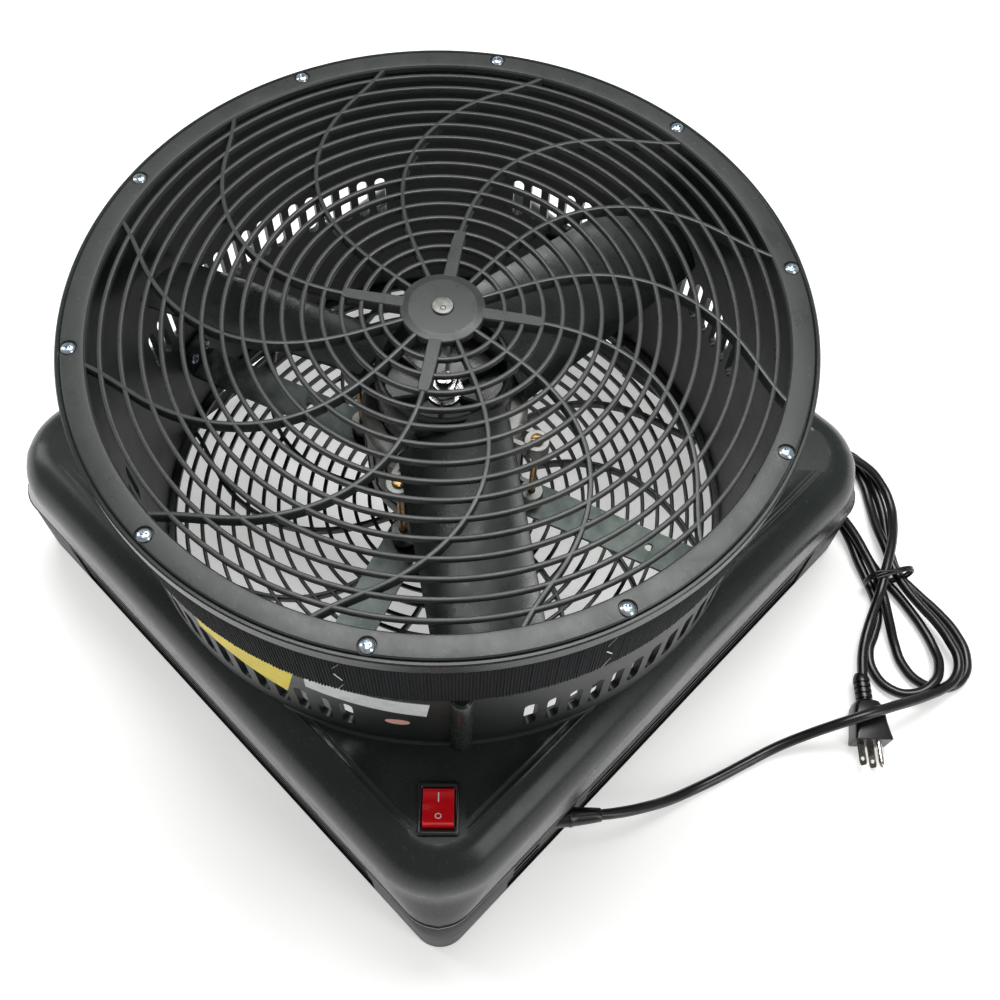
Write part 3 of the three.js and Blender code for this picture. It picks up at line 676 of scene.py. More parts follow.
# The skirt takes the darker copy of the base's black: painted shade.
skirt = skirt.mesh("skirt", painted_shade_skirt_plastic, 30)
recess, slots, fittings = Shape(), Shape(), Shape()
for side in everywhere(4):
    recess.add(block(BASE_HALF - 2, 250, -172, 172, 8, 73), turn(side))
    for low in SLOT_ROWS:
        slots.add(block(225, 250, -164, 164, low, low + SLOT_HIGH), turn(side))
    for u in (-82, 0, 82):
        fittings.add(block(226, BASE_HALF - 3.1, u - 2, u + 2, 8, 66), turn(side))
    plate = [(168, 168), (232, 168), (232, 218), (218, 232), (168, 232)]
    fittings.add(skin([[(x, y, z) for x, y in plate] for z in (4.2, 8)]), turn(side))
fittings.add(block(229, BASE_HALF - 2.1, -138, -86, 20, 60))
skirt = carve(carve(skirt, recess.mesh("recess")), slots.mesh("slots"))
piece("base_skirt", skirt, replaces=["lower_housing"])
skirt_fittings = fittings.mesh("skirt_fittings", painted_shade_skirt_plastic)
cord_hole = drill(BOOT_R, -70, 70, 32, along_cord).mesh("cord_hole")
piece("base_skirt_fittings", carve(skirt_fittings, cord_hole))
print("skirt faces:", len(skirt.polygons))

# %% [markdown]
# ## The duct
#
# The duct's wall is pierced by four groups of seventeen round-ended slots. Cutting 68 holes with a
# Boolean would be slow and leave long thin faces that shade badly on a curved wall. Instead the wall
# is laid out like a roll of wallpaper: each slot has its own cell, the cell's edge is joined to the
# slot's edge, and cells, blank columns and plain bands share their corner points.

# %% Slotted wall of the duct
DUCT_INNER, DUCT_OUTER = 217.5, 222.5
WALL_LOW, WALL_TOP = 77.0, 297.0
SLOT_LOW, SLOT_TOP, SLOT_HALF = 163.0, 201.0, 4.25
SLOT_PITCH, SLOTS = 3.8, 17
CELL_LOW, CELL_TOP = 156.0, 208.0
SLOT_ARC_STEPS, BLANK_COLUMNS = 8, 26
half_pitch = SLOT_PITCH / 2
half_slot = math.degrees(SLOT_HALF / DUCT_OUTER)
arc_low, arc_top = SLOT_LOW + SLOT_HALF, SLOT_TOP - SLOT_HALF
wall_points, wall_faces, wall_index = [], [], {}


def corner(angle, z, outside_face):
    """The number of the wall's point at that angle and height, made once and shared."""
    key = (round(angle % 360, 3), round(z, 3), outside_face)
    if key not in wall_index:
        wall_index[key] = len(wall_points)
        wall_points.append(polar(DUCT_OUTER if outside_face else DUCT_INNER, angle, z))
    return wall_index[key]


def patch(angles_and_heights):
    """One face on the outside of the wall and its twin on the inside."""
    for outside_face in (True, False):
        wall_faces.append([corner(a, z, outside_face) for a, z in angles_and_heights])


def slot_outline():
    """Points round a slot, each with the point of the cell's edge that it is joined to."""
    pairs = []
    for sign, centre, edge in ((1, arc_top, CELL_TOP), (-1, arc_low, CELL_LOW)):
        middle = (centre + edge) / 2
        rim = [(half_pitch * across, z) for across, z in
               ((1, centre), (1, middle), (1, edge), (0.5, edge), (0, edge),
                (-0.5, edge), (-1, edge), (-1, middle), (-1, centre))]
        for k, (angle, z) in enumerate(rim):
            a = math.pi * k / SLOT_ARC_STEPS
            hole = (half_slot * math.cos(a), centre + sign * SLOT_HALF * math.sin(a))
            pairs.append((hole, (angle, z)))
    return pairs[:9] + pairs[17:8:-1]


def slot_cell(centre):
    pairs = slot_outline()
    for (hole, edge), (next_hole, next_edge) in zip(pairs, pairs[1:] + pairs[:1]):
        patch([(centre + a, z) for a, z in (edge, next_edge, next_hole, hole)])
        wall_faces.append([corner(centre + a, z, face) for (a, z), face in
                           ((hole, True), (next_hole, True), (next_hole, False), (hole, False))])


column_edges, cell_centres = [], []
for side in everywhere(4):
    for k in range(SLOTS):
        middle = side + (k - (SLOTS - 1) / 2) * SLOT_PITCH
        cell_centres.append(middle)
        column_edges += [middle - half_pitch + half_pitch / 2 * j for j in (0, 1, 2, 3)]
    last = side + SLOTS / 2 * SLOT_PITCH
    blank = 90 - SLOTS * SLOT_PITCH
    blank_columns = [last + blank * j / BLANK_COLUMNS for j in range(BLANK_COLUMNS)]
    column_edges += blank_columns
    rows = [CELL_LOW, (CELL_LOW + arc_low) / 2, arc_low, arc_top, (arc_top + CELL_TOP) / 2, CELL_TOP]
    for left, right in zip(blank_columns, blank_columns[1:] + [last + blank]):
        for low, high in zip(rows, rows[1:]):
            patch([(left, low), (right, low), (right, high), (left, high)])
for middle in cell_centres:
    slot_cell(middle)
column_edges.sort()
for left, right in zip(column_edges, column_edges[1:] + [column_edges[0] + 360]):
    for low, high in ((WALL_LOW, CELL_LOW), (CELL_TOP, WALL_TOP)):
        patch([(left, low), (right, low), (right, high), (left, high)])
    for z in (WALL_LOW, WALL_TOP):
        ends = ((left, True), (right, True), (right, False), (left, False))
        wall_faces.append([corner(a, z, face) for a, face in ends])
# The duct wall takes the darker copy of the black plastic, as painted shade.
duct_wall = Shape((wall_points, wall_faces)).mesh("duct_wall", painted_shade_plastic, 40)
piece("duct_wall", duct_wall, replaces=["duct"])
print("slots:", len(cell_centres), "wall faces:", len(wall_faces))

# %% [markdown]
# Flanges at both ends of the duct take the two grilles. The top one has a thin raised lip outside
# the grille's rim. A half-round channel on the front of the wall carries the wires to the switch,
# and a soft fillet lies where the wall meets the deck.

# %% Flanges, channel and foot of the duct
FLANGE_R = 230.0
FLANGE_INNER, LIP_INNER = DUCT_INNER - 0.2, FLANGE_R - 2.9
top_flange = [(FLANGE_INNER, 296.4), (FLANGE_R - 0.8, 296.4), (FLANGE_R, 297.2), (FLANGE_R, 306.2),
              (FLANGE_R - 0.8, 307), (FLANGE_R - 2.2, 307), (LIP_INNER, 306.4), (LIP_INNER, 303.7),
              (FLANGE_INNER, 303.7)]
low_flange = [(FLANGE_INNER, 73.3), (FLANGE_R - 0.6, 73.3), (FLANGE_R, 73.9), (FLANGE_R, 77.2),
              (FLANGE_R - 0.6, 77.8), (FLANGE_INNER, 77.8)]
flanges = Shape(revolve(top_flange, 256), revolve(low_flange, 256))
piece("duct_flanges", flanges.mesh("duct_flanges", housing_plastic))

CHANNEL_ANGLE = -41.4
channel_outline = [(0, 143), (6.9, 143), (6.9, 228.5), (6.3, 230.8), (4.6, 232), (0, 232)]
channel = turned(channel_outline, 40, shift(*polar(DUCT_OUTER - 0.2, CHANNEL_ANGLE)))
piece("wire_channel", channel.mesh("wire_channel", housing_plastic))

foot_outline = [(DUCT_OUTER - 0.5, 143.5), (DUCT_OUTER + 2.4, 144.6), (DUCT_OUTER + 1.2, 145.5),
                (DUCT_OUTER + 0.4, 146.6), (DUCT_OUTER - 0.5, 148)]
foot = carve(Shape(revolve(foot_outline, 256)).mesh("foot", housing_plastic),
             Shape(block(-212, 212, -212, 212, 100, 200)).mesh("deck_area"), "INTERSECT")
piece("duct_fillet", foot)
print("flanges, channel and fillet made")

# %% [markdown]
# ## Guard grilles
#
# The two grilles are the same moulding: a flat rim, fifteen ring bars, twelve bars that spiral out
# from the hub, and a flat hub disc with a sloped border. Every bar has a rounded top and drafted sides.
# The spiral bars are deeper than the rings, and four of them are broad and flat-topped near the hub.

# %% Grille
RIM_INNER, RIM_OUTER = 212.2, 226.5
SCREW_CIRCLE, SCREWS = 221.7, 10
RINGS, RING_FIRST, RING_STEP = 15, 37.7, 11.9
HUB_R = 26.3
BROAD_RADII = (HUB_R - 2, 34, 44, 54, 60, 62)
RIB_SWEEP, RIB_SCALE, RIB_STRAIGHT, RIB_EASE, RIB_STOP = 73, 222.9, 0.2, 190.0, 90
RIB_STEPS = 44


def rib_angle(radius):
    """How far a spiral bar lags behind its own start, in degrees.

    It runs straight out, then lags with the square of the radius, and eases off near the rim.
    """
    lag = RIB_SWEEP * max(0.0, min(radius, RIB_EASE) / RIB_SCALE - RIB_STRAIGHT) ** 2
    slope = 2 * RIB_SWEEP * (RIB_EASE / RIB_SCALE - RIB_STRAIGHT) / RIB_SCALE
    beyond = max(0.0, radius - RIB_EASE)
    return -(lag + slope * beyond * (1 - beyond / RIB_STOP))


def bar_section(width, height, round_top=1.0):
    half, brow = width / 2, round_top * 0.3
    return [(half * x, -down) for x, down in ((-0.8, height), (0.8, height), (1, round_top), (0.72, brow),
                                              (0, 0), (-0.72, brow), (-1, round_top))]


def grille_shape(top, first_rib):
    shape = Shape()
    for k in range(RINGS):
        radius = RING_FIRST + RING_STEP * k
        shape.add(revolve([(radius + x, top - 1.0 + z) for x, z in bar_section(3.0, 4.2)], 144))
    first, last = HUB_R - 1, RIM_INNER + 1.5
    radii = [first + (last - first) * j / RIB_STEPS for j in range(RIB_STEPS + 1)]
    broad_section = [(-4.0, -8.4), (4.0, -8.4), (4.3, -1.0), (3.7, -0.1), (-3.7, -0.1), (-4.3, -1.0)]
    for k, start in enumerate(everywhere(12, first_rib)):
        path = [polar(r, start + rib_angle(r), top - 0.9) for r in radii]
        shape.add(sweep(path, bar_section(3.1, 8.2)))
        if k % 3 == 1:
            broad = [polar(r, start + rib_angle(r), top - 0.45) for r in BROAD_RADII]
            shape.add(sweep(broad, broad_section, [1, 1, 0.97, 0.93, 0.88, 0.7]))
    hub = [(0, 7), (24.5, 7), (HUB_R, 5.5), (HUB_R, 1.6), (HUB_R - 0.5, 0.9), (HUB_R - 2, 0.6),
           (22.4, 0.35), (21.4, 0.05), (20.4, 0), (0, 0)]
    return shape.add(revolve([(r, top - down) for r, down in hub], 64, solid=True))


def rim_mesh(name, top, finish):
    outline = [(RIM_INNER, 4.6), (RIM_OUTER - 0.4, 4), (RIM_OUTER, 3.2), (RIM_OUTER, 0.9),
               (RIM_OUTER - 0.9, 0.1), (RIM_OUTER - 3, 0), (RIM_INNER + 3, 0), (RIM_INNER + 0.9, 0.3),
               (RIM_INNER, 1.4)]
    rim = Shape(revolve([(r, top - down) for r, down in outline], 240)).mesh(name, finish)
    pit = [(0, top - 1.6), (4.9, top - 1.6), (5.4, top - 1.0), (5.4, top + 2), (0, top + 2)]
    pits = Shape()
    for angle in everywhere(SCREWS, 90):
        pits.add(revolve(pit, 28, solid=True), out_at(angle, SCREW_CIRCLE))
    return carve(rim, pits.mesh("pits"))


GRILLE_TOP, INTAKE_TOP = 308.0, 73.0
guard = grille_shape(GRILLE_TOP, 5.7).mesh("guard_grille", guard_plastic)
piece("guard_grille", guard, replaces=["top_grille"])
piece("guard_rim", rim_mesh("guard_rim", GRILLE_TOP, guard_plastic))
# The intake grille is the same moulding as the guard; its darker copy of the plastic is painted shade under
# the base.
intake = grille_shape(INTAKE_TOP, 8.2).mesh("intake_lattice", painted_shade_plastic)
piece("intake_lattice", intake, replaces=["intake_grille"])
piece("intake_rim", rim_mesh("intake_rim", INTAKE_TOP, painted_shade_plastic))
print("bars:", RINGS + 12, "faces:", len(guard.polygons))

# %% [markdown]
# ## Screws
#
# A screw is turned on the lathe, then a tapered cross is cut in its head. The twenty in the grilles
# are the same, so the cut mesh is made once and each screw is a copy in its own place.

# %% Screw with a cross recess
def screw_mesh(name, head, shank, length, finish):
    dome = [(0, -length), (shank, -length), (shank, 0), (head * 0.92, 0), (head, 0.35), (head, 0.9),
            (head * 0.86, 1.7), (head * 0.6, 2.25), (head * 0.3, 2.5), (0, 2.55)]
    arm, wide = head * 0.56, head * 0.12
    arms = skin([[(x * long, y * broad, z) for x, y in SQUARE]
                 for long, broad, z in ((arm * 0.5, wide, 0.7), (arm, wide * 1.3, 3))])
    made = turned(dome, 40).mesh(name, finish)
    for degrees in (0, 90):
        made = carve(made, Shape().add(arms, turn(degrees)).mesh("cross"))
    return made


def copy_of(data, place):
    """The same mesh moved to its place, so that the object itself stays at the origin."""
    moved = data.copy()
    moved.transform(place)
    return moved


def millimetres(x, y, z):
    return Matrix.Translation(Vector((x, y, z)) / 1000)


grille_screw = screw_mesh("grille_screw", 4.3, 2.2, 10.0, screw_zinc)
random.seed(4)
for k, angle in enumerate(everywhere(SCREWS, 90), 1):
    for group, top, flip in (("guard", GRILLE_TOP - 1.5, 0), ("intake", INTAKE_TOP - 4.4, 180)):
        place = (turn(angle) @ millimetres(SCREW_CIRCLE, 0, top) @ turn(flip, "X")
                 @ turn(random.uniform(0, 90)))
        node = [f"top_grille_screw_{k}"] if group == "guard" else ()
        piece(f"{group}_screw_{k}", copy_of(grille_screw, place), replaces=node)

hub_bolt_outline = [(0, -1.2), (6.9, -1.2), (6.9, 0.8), (6.4, 1.4), (5.6, 1.55), (0, 1.6)]
hub_bolt = turned(hub_bolt_outline, 48, shift(0, 0, GRILLE_TOP))
hub_bolt.add(revolve([(0, -8.6), (5.5, -8.6), (5.5, -7), (0, -7)], 6, solid=True), shift(0, 0, GRILLE_TOP))
dimple = turned([(0, 0.9), (1.4, 1.1), (2.6, 2.4), (0, 2.4)], 20, shift(1.9, -1.4, GRILLE_TOP))
hub_bolt = carve(hub_bolt.mesh("guard_hub_bolt", hub_aluminium), dimple.mesh("dimple"))
piece("guard_hub_bolt", hub_bolt, replaces=["grille_centre_bolt"])
print("screws in the grilles:", 2 * SCREWS)

# %% [markdown]
# ## Hook tape
#
# The tape round the duct is a dense field of plastic hooks woven in upright rows. At this scale the
# rows show as fine uneven ribs, so the band is a ring whose outline is broken into ribs of slightly
# different depth and length, drawn from a seeded random row. Short white stitches show where it is
# sewn.

# %% Hook tape band
TAPE_LOW, TAPE_TOP = 233.4, 282.6
TAPE_INNER, TAPE_OUTER = 222.8, 225.1
RIBS_ROUND, RIB_DEPTH, RAGGED = 740, 0.8, 1.3
THREAD_R = 0.45
random.seed(11)
rings = []
for k in range(RIBS_ROUND):
    for offset, depth in ((0.12, 0.0), (0.30, 1.0), (0.62, 1.0), (0.80, 0.0)):
        angle = 360 * (k + offset) / RIBS_ROUND
        if offset in (0.12, 0.30):
            reach = random.uniform(0.72, 1.0)
            low = TAPE_LOW + random.uniform(0, RAGGED) * depth
            high = TAPE_TOP - random.uniform(0, RAGGED) * depth
        radius = TAPE_OUTER - RIB_DEPTH + RIB_DEPTH * reach * depth
        rings.append([polar(TAPE_INNER, angle, TAPE_LOW + 0.5), polar(radius - 0.4, angle, low),
                      polar(radius, angle, low + 1.0), polar(radius, angle, high - 1.0),
                      polar(radius - 0.4, angle, high), polar(TAPE_INNER, angle, TAPE_TOP - 0.5)])
tape = Shape(skin(rings, looped=True)).mesh("hook_tape", hook_tape, 50)
piece("hook_tape", tape, replaces=["hook_tape_band"])

threads = Shape()
for start in (-59.0, -19.6):
    for lean, low, high in ((1.1, 236, 247), (-1.1, 254, 262), (1.1, 270, 279)):
        rings = []
        for t in (0, 0.3, 0.7, 1):
            middle = polar(TAPE_OUTER + 0.05, start + lean * (t - 0.5), low + (high - low) * t)
            slant = Vector((0, 0, THREAD_R)) + polar(THREAD_R, start + 90)
            out = middle.normalized() * 0.4
            rings.append([middle + slant * math.sin(a) + out * math.cos(a)
                          for a in (0, TURN / 3, 2 * TURN / 3)])
        threads.add(skin(rings))
piece("tape_threads", threads.mesh("tape_threads", thread_white))
print("tape ribs:", RIBS_ROUND)

# %% [markdown]
# ## Labels
#
# Three stickers lie on the duct below the tape. They are left plain: a yellow one, a white one and a
# small pink oval. Each is a thin curved sheet that follows the wall.

# %% Stickers on the duct
def between(first, second, share):
    return [a + (b - a) * share for a, b in zip(first, second)]


def sticker(name, finish, corners, columns=16, rows=4, oval=False):
    """A sheet on the duct between four corners given as (angle, height)."""
    rings = []
    for i in range(columns + 1):
        u = i / columns
        low, high = between(corners[0], corners[1], u), between(corners[3], corners[2], u)
        narrowing = math.sqrt(max(0.0004, 1 - (2 * u - 1) ** 2)) if oval else 1
        column = [between(low, high, 0.5 + (j / rows - 0.5) * narrowing) for j in range(rows + 1)]
        front = [polar(DUCT_OUTER + 0.28, a, z) for a, z in column]
        back = [polar(DUCT_OUTER + 0.06, a, z) for a, z in column]
        rings.append(front + back[::-1])
    piece(name, Shape(skin(rings)).mesh(name, finish))


sticker("plain_yellow_label", yellow_paper, [(-86, 208), (-69.6, 188), (-67, 231.5), (-86, 231.5)])
sticker("plain_white_label", white_paper, [(-65.6, 213), (-46.8, 200), (-46.2, 222), (-65.4, 232)])
pink_corners = [(-53.5, 180.5), (-49.5, 180.5), (-49.5, 189.5), (-53.5, 189.5)]
sticker("plain_pink_sticker", pink_paper, pink_corners, 20, 2, True)
print("stickers: 3")

# %% [markdown]
# ## Fan
#
# A three-blade fan turns on the motor's shaft. Each blade is a thin cambered sheet, steeply pitched
# at the hub and flatter at the tip. A loft along the radius gives it: every section is a slim
# rounded profile, turned to its own pitch. Hub, nut and washer sit in the middle.

# %% Fan
BLADE_ROOT, BLADE_TIP, BLADE_CHORD, BLADE_Z = 43.0, 211.0, 86.0, 233.0
PITCH_ROOT, PITCH_TIP, CAMBER = 34.0, 24.0, 5.0
BLADE_TAPER = 0.37
BLADE_RINGS, FIRST_BLADE = 26, -38
HUB_SEGMENTS, BORE = 96, 6.3


def blade_ring(t, steps=18):
    """The blade's section at the share t of its span."""
    pitch = math.radians(PITCH_ROOT + (PITCH_TIP - PITCH_ROOT) * t)
    tip = max(0.0, (t - 0.93) / 0.07)
    half = BLADE_CHORD / 2 * (1 - 0.10 * tip * tip)
    radius = BLADE_ROOT + (BLADE_TIP - BLADE_ROOT) * t
    upper, lower = [], []
    for k in range(steps + 1):
        c = -math.cos(math.pi * k / steps)
        thick = (1.5 + 0.6 * (1 - t)) * max(0.12, (1 - c ** 4)) ** 0.6
        for side, line in ((1, upper), (-1, lower)):
            u, v = c * half * (1 - BLADE_TAPER * t if c < 0 else 1), CAMBER * (1 - c * c) + side * thick
            x = radius - 0.0026 * t * u * u
            line.append(Vector((x, u * math.cos(pitch) - v * math.sin(pitch),
                                BLADE_Z + u * math.sin(pitch) + v * math.cos(pitch))))
    return lower + upper[::-1]


fan = Shape()
blade_part = skin([blade_ring(k / BLADE_RINGS) for k in range(BLADE_RINGS + 1)])
for angle in everywhere(3, FIRST_BLADE):
    fan.add(blade_part, turn(angle))
hub_outline = [(BORE, 207.5), (43.5, 207.5), (45.6, 208.4), (46, 210), (46, 245.5), (45.2, 248), (43.4, 249),
               (41.9, 248), (41.5, 245.8), (41.5, 221.5), (40, 219.4), (30, 218.4), (14, 217.2), (BORE, 217)]
fan.add(revolve(hub_outline, HUB_SEGMENTS))
web = [(13, 217.2), (40.8, 219.2), (40.8, 232), (13, 222)]
for angle in everywhere(6, 10):
    fan.add(skin([[(x, y, z) for x, z in web] for y in (-1.1, 1.1)]), turn(angle))
piece("fan", fan.mesh("fan", fan_plastic, 30), "fan", ["impeller"])


def chamfered_nut(z0, z1, across=10.0, bore=6.4):
    rings = []
    for z, scale in ((z0, 0.9), (z0 + 0.9, 1), (z1 - 0.9, 1), (z1, 0.9)):
        rings.append([polar(across * scale, 60 * k, z) for k in range(6)])
    hole = [[polar(bore, 60 * k, z) for k in range(6)] for z in (z1, z0)]
    return skin(rings + hole, looped=True)


nut = Shape(chamfered_nut(219.6, 228.0))
piece("fan_nut", nut.mesh("fan_nut", bright_steel, 20), "fan", ["impeller_nut"])
shaft_outline = [(0, 121.2), (6, 121.2), (6, 231.5), (5.2, 232.8), (4.2, 233), (1.6, 233), (1.2, 231.6),
                 (0, 231.4)]
shaft = turned(shaft_outline, 40).mesh("shaft", bright_steel)
piece("fan_shaft", shaft, "fan", ["motor_shaft"])
washer_outline = [(BORE, 217.9), (12.6, 217.9), (13, 218.2), (13, 219), (12.6, 219.3), (BORE, 219.3)]
washer = Shape(revolve(washer_outline, 48))
piece("fan_washer", washer.mesh("fan_washer", bright_steel), "fan", ["impeller_washer"])
print("fan: 3 blades, tip radius", BLADE_TIP)

# %% [markdown]
# ## Motor
#
# The motor is a can between two cast end shields, held together by four long bolts through lugs. The
# lugs, with their ribs and brass bolt heads, are what shows between the fan's blades from above.

# %% Motor
MOTOR_R, LUG_CIRCLE, LUG_R = 58.0, 70.0, 9.0
LUG_ANGLES = everywhere(4, 20)


def shield(name, low, high, up, node):
    outer_face, inward = (high, -1) if up else (low, 1)
    inner_face = low if up else high
    outline = [(13.4, inner_face), (MOTOR_R - 0.2, inner_face), (MOTOR_R, inner_face - inward * 0.8)]
    outline += [(radius, outer_face + inward * deep) for radius, deep in
                ((MOTOR_R, 3.2), (MOTOR_R - 3, 0.6), (MOTOR_R - 5, 0), (46, 0), (44, 3.6), (24, 3.6),
                 (21, 0), (13.4, 0))]
    made = Shape(revolve(outline, 96))
    lug = [(3.1, low), (LUG_R - 0.6, low), (LUG_R, low + 0.6), (LUG_R, high - 0.6),
           (LUG_R - 0.6, high), (3.1, high)]
    for angle in LUG_ANGLES:
        made.add(revolve(lug, 32), out_at(angle, LUG_CIRCLE))
        for side in (-6.2, 6.2):
            made.add(block(50, LUG_CIRCLE - 1, side - 1.7, side + 1.7, low + 0.5, high - 0.8), turn(angle))
    for angle in everywhere(12, 8):
        made.add(block(22, 45.5, -1.2, 1.2, low + 2, high - 1.6), turn(angle))
    piece(name, made.mesh(name, cast_shield), replaces=[node])


shield("upper_shield", 190.0, 202.0, True, "motor_upper_end_shield")
shield("lower_shield", 121.0, 133.0, False, "motor_lower_end_shield")
can = [(53, 133.3), (MOTOR_R, 133.3), (MOTOR_R, 137), (MOTOR_R - 0.8, 138), (MOTOR_R - 0.8, 186),
       (MOTOR_R, 187), (MOTOR_R, 189.7), (53, 189.7)]
can_shape = Shape(revolve(can, 96))
for angle in everywhere(24):
    can_shape.add(block(56.8, MOTOR_R + 0.2, -0.9, 0.9, 140, 184), turn(angle))
can_mesh = can_shape.mesh("motor_can_painted", motor_paint)
piece("motor_can_painted", can_mesh, replaces=["motor_can"])

bolt_outline = [(0, 108), (2.4, 108), (2.4, 202.3), (4.2, 202.3), (4.6, 202.7), (4.6, 204.2), (3.9, 205.2),
                (2.4, 205.6), (0, 205.6)]
for k, angle in enumerate(LUG_ANGLES, 1):
    place = out_at(angle, LUG_CIRCLE)
    bolt = turned(bolt_outline, 32, place).mesh("bolt", bolt_brass)
    slot = Shape().add(block(-5, 5, -0.55, 0.55, 204.4, 207), place @ turn(35)).mesh("slot")
    piece(f"motor_bolt_brass_{k}", carve(bolt, slot), replaces=[f"motor_bolt_{k}"])

kept = {"motor_stator": winding, "motor_rotor": cast_shield, "motor_upper_bearing": bright_steel,
        "motor_lower_bearing": bright_steel, "run_capacitor": capacitor_can,
        "wiring_harness": cord_plastic}
kept.update({f"rubber_foot_{k}": rubber for k in range(1, 5)})
for node, finish in kept.items():
    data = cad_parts[node].data
    data.materials.clear()
    data.materials.append(finish)
    shade(data)
print("CAD pieces kept as they are:", len(kept))

# %% [markdown]
# Two pressed straps cross under the motor and turn up at their ends against the duct's wall, where
# screws hold them. Each is a flat bar with a row of holes, two of them for the motor's bolts.

# %% Straps
STRAP_REACH, STRAP_HALF, STRAP_THICK, TAB_TOP = 216.4, 14.0, 3.0, 147.7
TAB_SCREWS = 134.7
BEND, HOLE_R = 3.0, 3.2


def strap(name, angle, top, node):
    low = top - STRAP_THICK
    inside = STRAP_REACH - STRAP_THICK
    half_outside = [(STRAP_REACH, TAB_TOP), (STRAP_REACH, low + BEND), (STRAP_REACH - 0.9, low + 0.9),
                    (STRAP_REACH - BEND, low)]
    half_inside = [(inside, TAB_TOP), (inside, top + 1.5), (inside - 1.5, top)]
    profile = ([(-x, z) for x, z in half_outside] + half_outside[::-1] + half_inside
               + [(-x, z) for x, z in half_inside[::-1]])
    rows = [[(x, y, z) for x, z in profile] for y in (-STRAP_HALF, STRAP_HALF)]
    bar = Shape().add(skin(rows), turn(angle))
    holes = Shape()
    for x in (-LUG_CIRCLE, LUG_CIRCLE, -118, 118, -165, 165):
        holes.add(revolve([(0, low - 2), (HOLE_R, low - 2), (HOLE_R, top + 2), (0, top + 2)], 24, solid=True),
                  out_at(angle, x))
    piece(name, carve(bar.mesh(name, strap_zinc), holes.mesh("holes")), replaces=[node])


# The straps' finish is zinc painted near black, as painted shade under the motor.
strap("strap_upper", 20, 120.7, "motor_strap_upper")
strap("strap_lower", 110, 117.4, "motor_strap_lower")
strap_screw = screw_mesh("strap_screw", 4.3, 2.2, 9.5, screw_zinc)
for k, angle in enumerate(LUG_ANGLES):
    for j, side in enumerate((-7.5, 7.5)):
        place = (turn(angle) @ millimetres(STRAP_REACH - STRAP_THICK, side, TAB_SCREWS)
                 @ turn(-90, "Y") @ turn(25 * k + 40 * j))
        node = [f"strap_screw_{k + 1}"] if j == 0 else ()
        name = f"strap_end_screw_{k + 1}_{j + 1}"
        piece(name, copy_of(strap_screw, place), replaces=node)
print("straps: 2, screws:", 8)

# %% [markdown]
# ## Switch
#
# A snap-in rocker switch: a black bezel with a sunk window and a glossy red rocker with its two
# generic marks, a bar for on and a ring for off. The rocker's top is a shallow V, and its ends are
# arcs about the pivot, so that it can tip without touching the window. It tips on its own body.

# %% Switch
SWITCH_AT = polar(264.5, -45)
PIVOT_Z = 145.7
ROCKER_TILT = 10.0
ROCKER_HALF, REACH, TOP_LOW, TOP_RISE, FLAT_HALF = 9.75, 12.1, 3.35, 0.215, 2.5
MARK_LOW, MARK_HIGH = 0.02, 0.10
switch_frame = shift(*SWITCH_AT) @ turn(-45)
bezel_rows = [(16.5, 13.0, 145.3, 1.6), (16.5, 13.0, 147.4, 1.6), (16.1, 12.6, 148.0, 1.4),
              (15.2, 11.7, 148.2, 1.2), (13.4, 10.9, 147.9, 0.9), (12.7, 10.2, 147.2, 0.6),
              (12.6, 10.1, 132.0, 0.6), (13.5, 10.6, 132.0, 0.6), (13.5, 10.6, 145.3, 0.8)]
bezel_rings = [[(x, y, z) for x, y in rounded_oblong(half_x, half_y, radius, 4)]
               for half_x, half_y, z, radius in bezel_rows]
bezel = Shape().add(skin(bezel_rings, looped=True), switch_frame)
bezel.add(block(-13.4, 13.4, -10.5, 10.5, 121.2, 131.8), switch_frame)
bezel_mesh = bezel.mesh("switch_bezel", switch_plastic)
piece("switch_bezel", bezel_mesh, replaces=["switch_body"])

tilt = shift(0, 0, PIVOT_Z) @ turn(-ROCKER_TILT, "Y")
rocker_line = [(0, 3.3), (FLAT_HALF, TOP_LOW), (5.5, 3.8), (8.5, 4.5), (10.4, 5.05), (10.9, 5.05)]
for degrees in (23, 12, 0, -14):
    on_arc = math.radians(degrees)
    rocker_line.append((REACH * math.cos(on_arc), REACH * math.sin(on_arc)))
rocker_line += [(9, -6.5), (0, -8)]
rocker_line += [(-x, z) for x, z in reversed(rocker_line[1:-1])]
rocker_rows = []
chamfers = ((-ROCKER_HALF, 0.35), (0.3 - ROCKER_HALF, 0.0), (ROCKER_HALF - 0.3, 0.0), (ROCKER_HALF, 0.35))
for y, inset in chamfers:
    rocker_rows.append([(x * (1 - inset / 12), y, z - inset if z > 0 else z + inset) for x, z in rocker_line])
rocker = Shape().add(skin(rocker_rows), switch_frame @ tilt).mesh("rocker_cap", rocker_red, 28)
piece("rocker_cap", rocker, "rocker", ["switch_rocker"])


def on_rocker(x, y, above):
    """A point just above the rocker's top face, which rises towards both ends."""
    return Vector((x, y, TOP_LOW + max(0.0, abs(x) - FLAT_HALF) * TOP_RISE)) + Vector((0, 0, above))


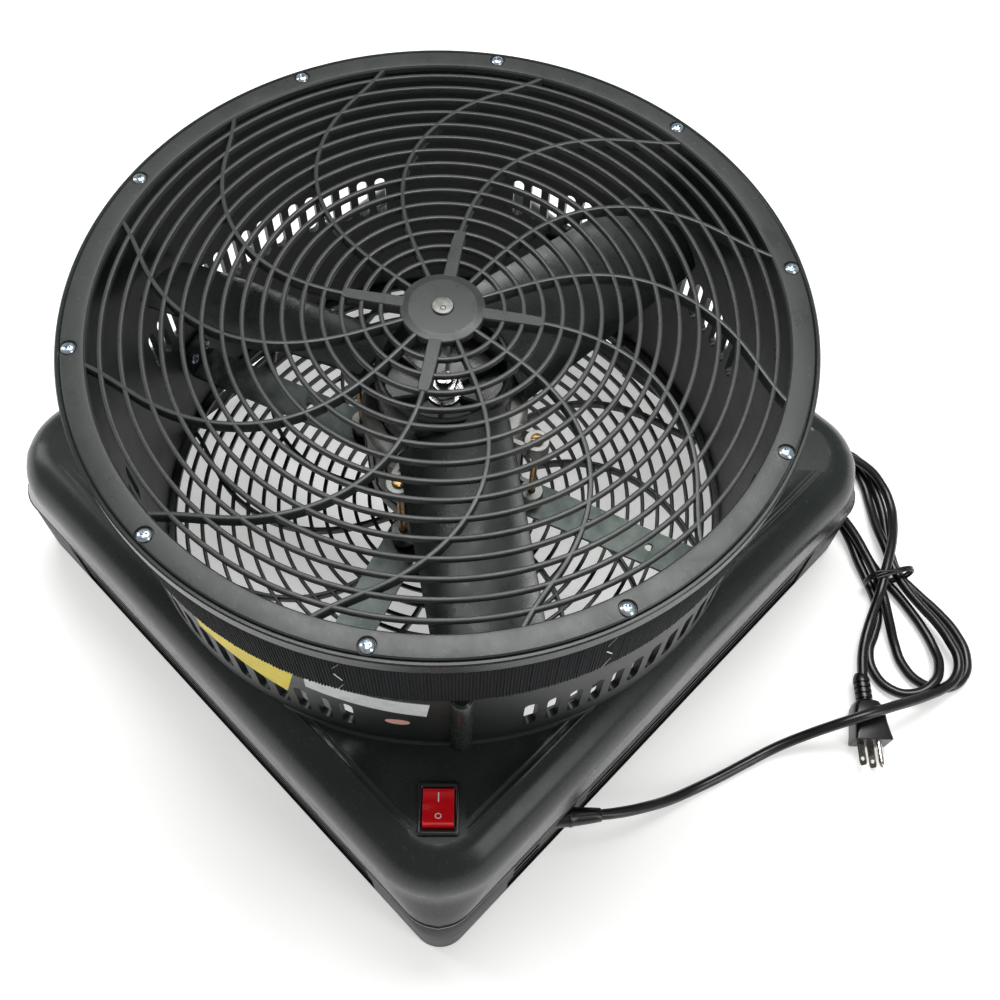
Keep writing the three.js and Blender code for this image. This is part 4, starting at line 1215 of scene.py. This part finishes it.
bar = [(-8.6, -0.32), (-3.0, -0.32), (-3.0, 0.32), (-8.6, 0.32)]
ring_section = ((1.45, MARK_LOW), (2.05, MARK_LOW), (2.05, MARK_HIGH), (1.45, MARK_HIGH))
ring_mark = []
for k in range(28):
    a = TURN * k / 28
    ring_mark.append([on_rocker(6.4 + r * math.cos(a), r * math.sin(a), above) for r, above in ring_section])
bar_mark = [[on_rocker(x, y, above) for x, y in bar] for above in (MARK_LOW, MARK_HIGH)]
marks = Shape()
for mark in (skin(bar_mark), skin(ring_mark, looped=True)):
    marks.add(mark, switch_frame @ tilt)
piece("rocker_marks", marks.mesh("rocker_marks", white_print), "rocker")
print("switch made, rocker tilted", ROCKER_TILT, "degrees")

# %% [markdown]
# ## Floor and light
#
# The machine stands on plain white. One large soft light overhead and slightly behind gives the
# broad sheen on the guard's rim and the shoulders, and two weaker ones fill in from the sides.

# %% Floor
floor_finish = Finish("floor_white", Roughness=0.9)
shade_of_floor = floor_finish.noise(2, 2, 0.5)
floor_finish.feed("Base Color", floor_finish.mix(shade_of_floor, (0.80, 0.80, 0.79), (0.82, 0.82, 0.82)))
floor_finish.feed("Emission Color", (1.0, 1.0, 0.985))
floor_finish.feed("Emission Strength", 0.42)
floor_mesh = bpy.data.meshes.new("floor")
FLOOR_HALF, FLOOR_Z = 6, -0.0004
floor_mesh.from_pydata([(x * FLOOR_HALF, y * FLOOR_HALF, FLOOR_Z) for x, y in SQUARE], [], [(0, 1, 2, 3)])
floor_mesh.materials.append(floor_finish.material)
floor = bpy.data.objects.new("floor", floor_mesh)
bpy.context.scene.collection.objects.link(floor)
print("floor laid")


# %% Lights
def softbox(name, at, size, watts, aim=(0, 0, 0.2)):
    light = bpy.data.lights.new(name, "AREA")
    light.shape, light.size, light.size_y = "RECTANGLE", size[0], size[1]
    light.energy = watts
    lamp = bpy.data.objects.new(name, light)
    bpy.context.scene.collection.objects.link(lamp)
    lamp.location = at
    lamp.rotation_mode = "QUATERNION"
    lamp.rotation_quaternion = (Vector(aim) - Vector(at)).to_track_quat("-Z", "Y")
    return lamp


softbox("light_above", (-0.45, 0.65, 2.4), (1.5, 1.0), 52)
softbox("light_left", (-1.9, -0.9, 1.3), (0.5, 1.8), 13)
softbox("light_right", (1.9, 0.2, 1.2), (0.5, 1.8), 13)
world = bpy.data.worlds.new("studio")
world.use_nodes = True
world.node_tree.nodes["Background"].inputs["Color"].default_value = (1, 1, 1, 1)
world.node_tree.nodes["Background"].inputs["Strength"].default_value = 0.32
bpy.context.scene.world = world
bpy.context.scene.view_settings.view_transform = "Standard"
print("lights: 3 and the room")
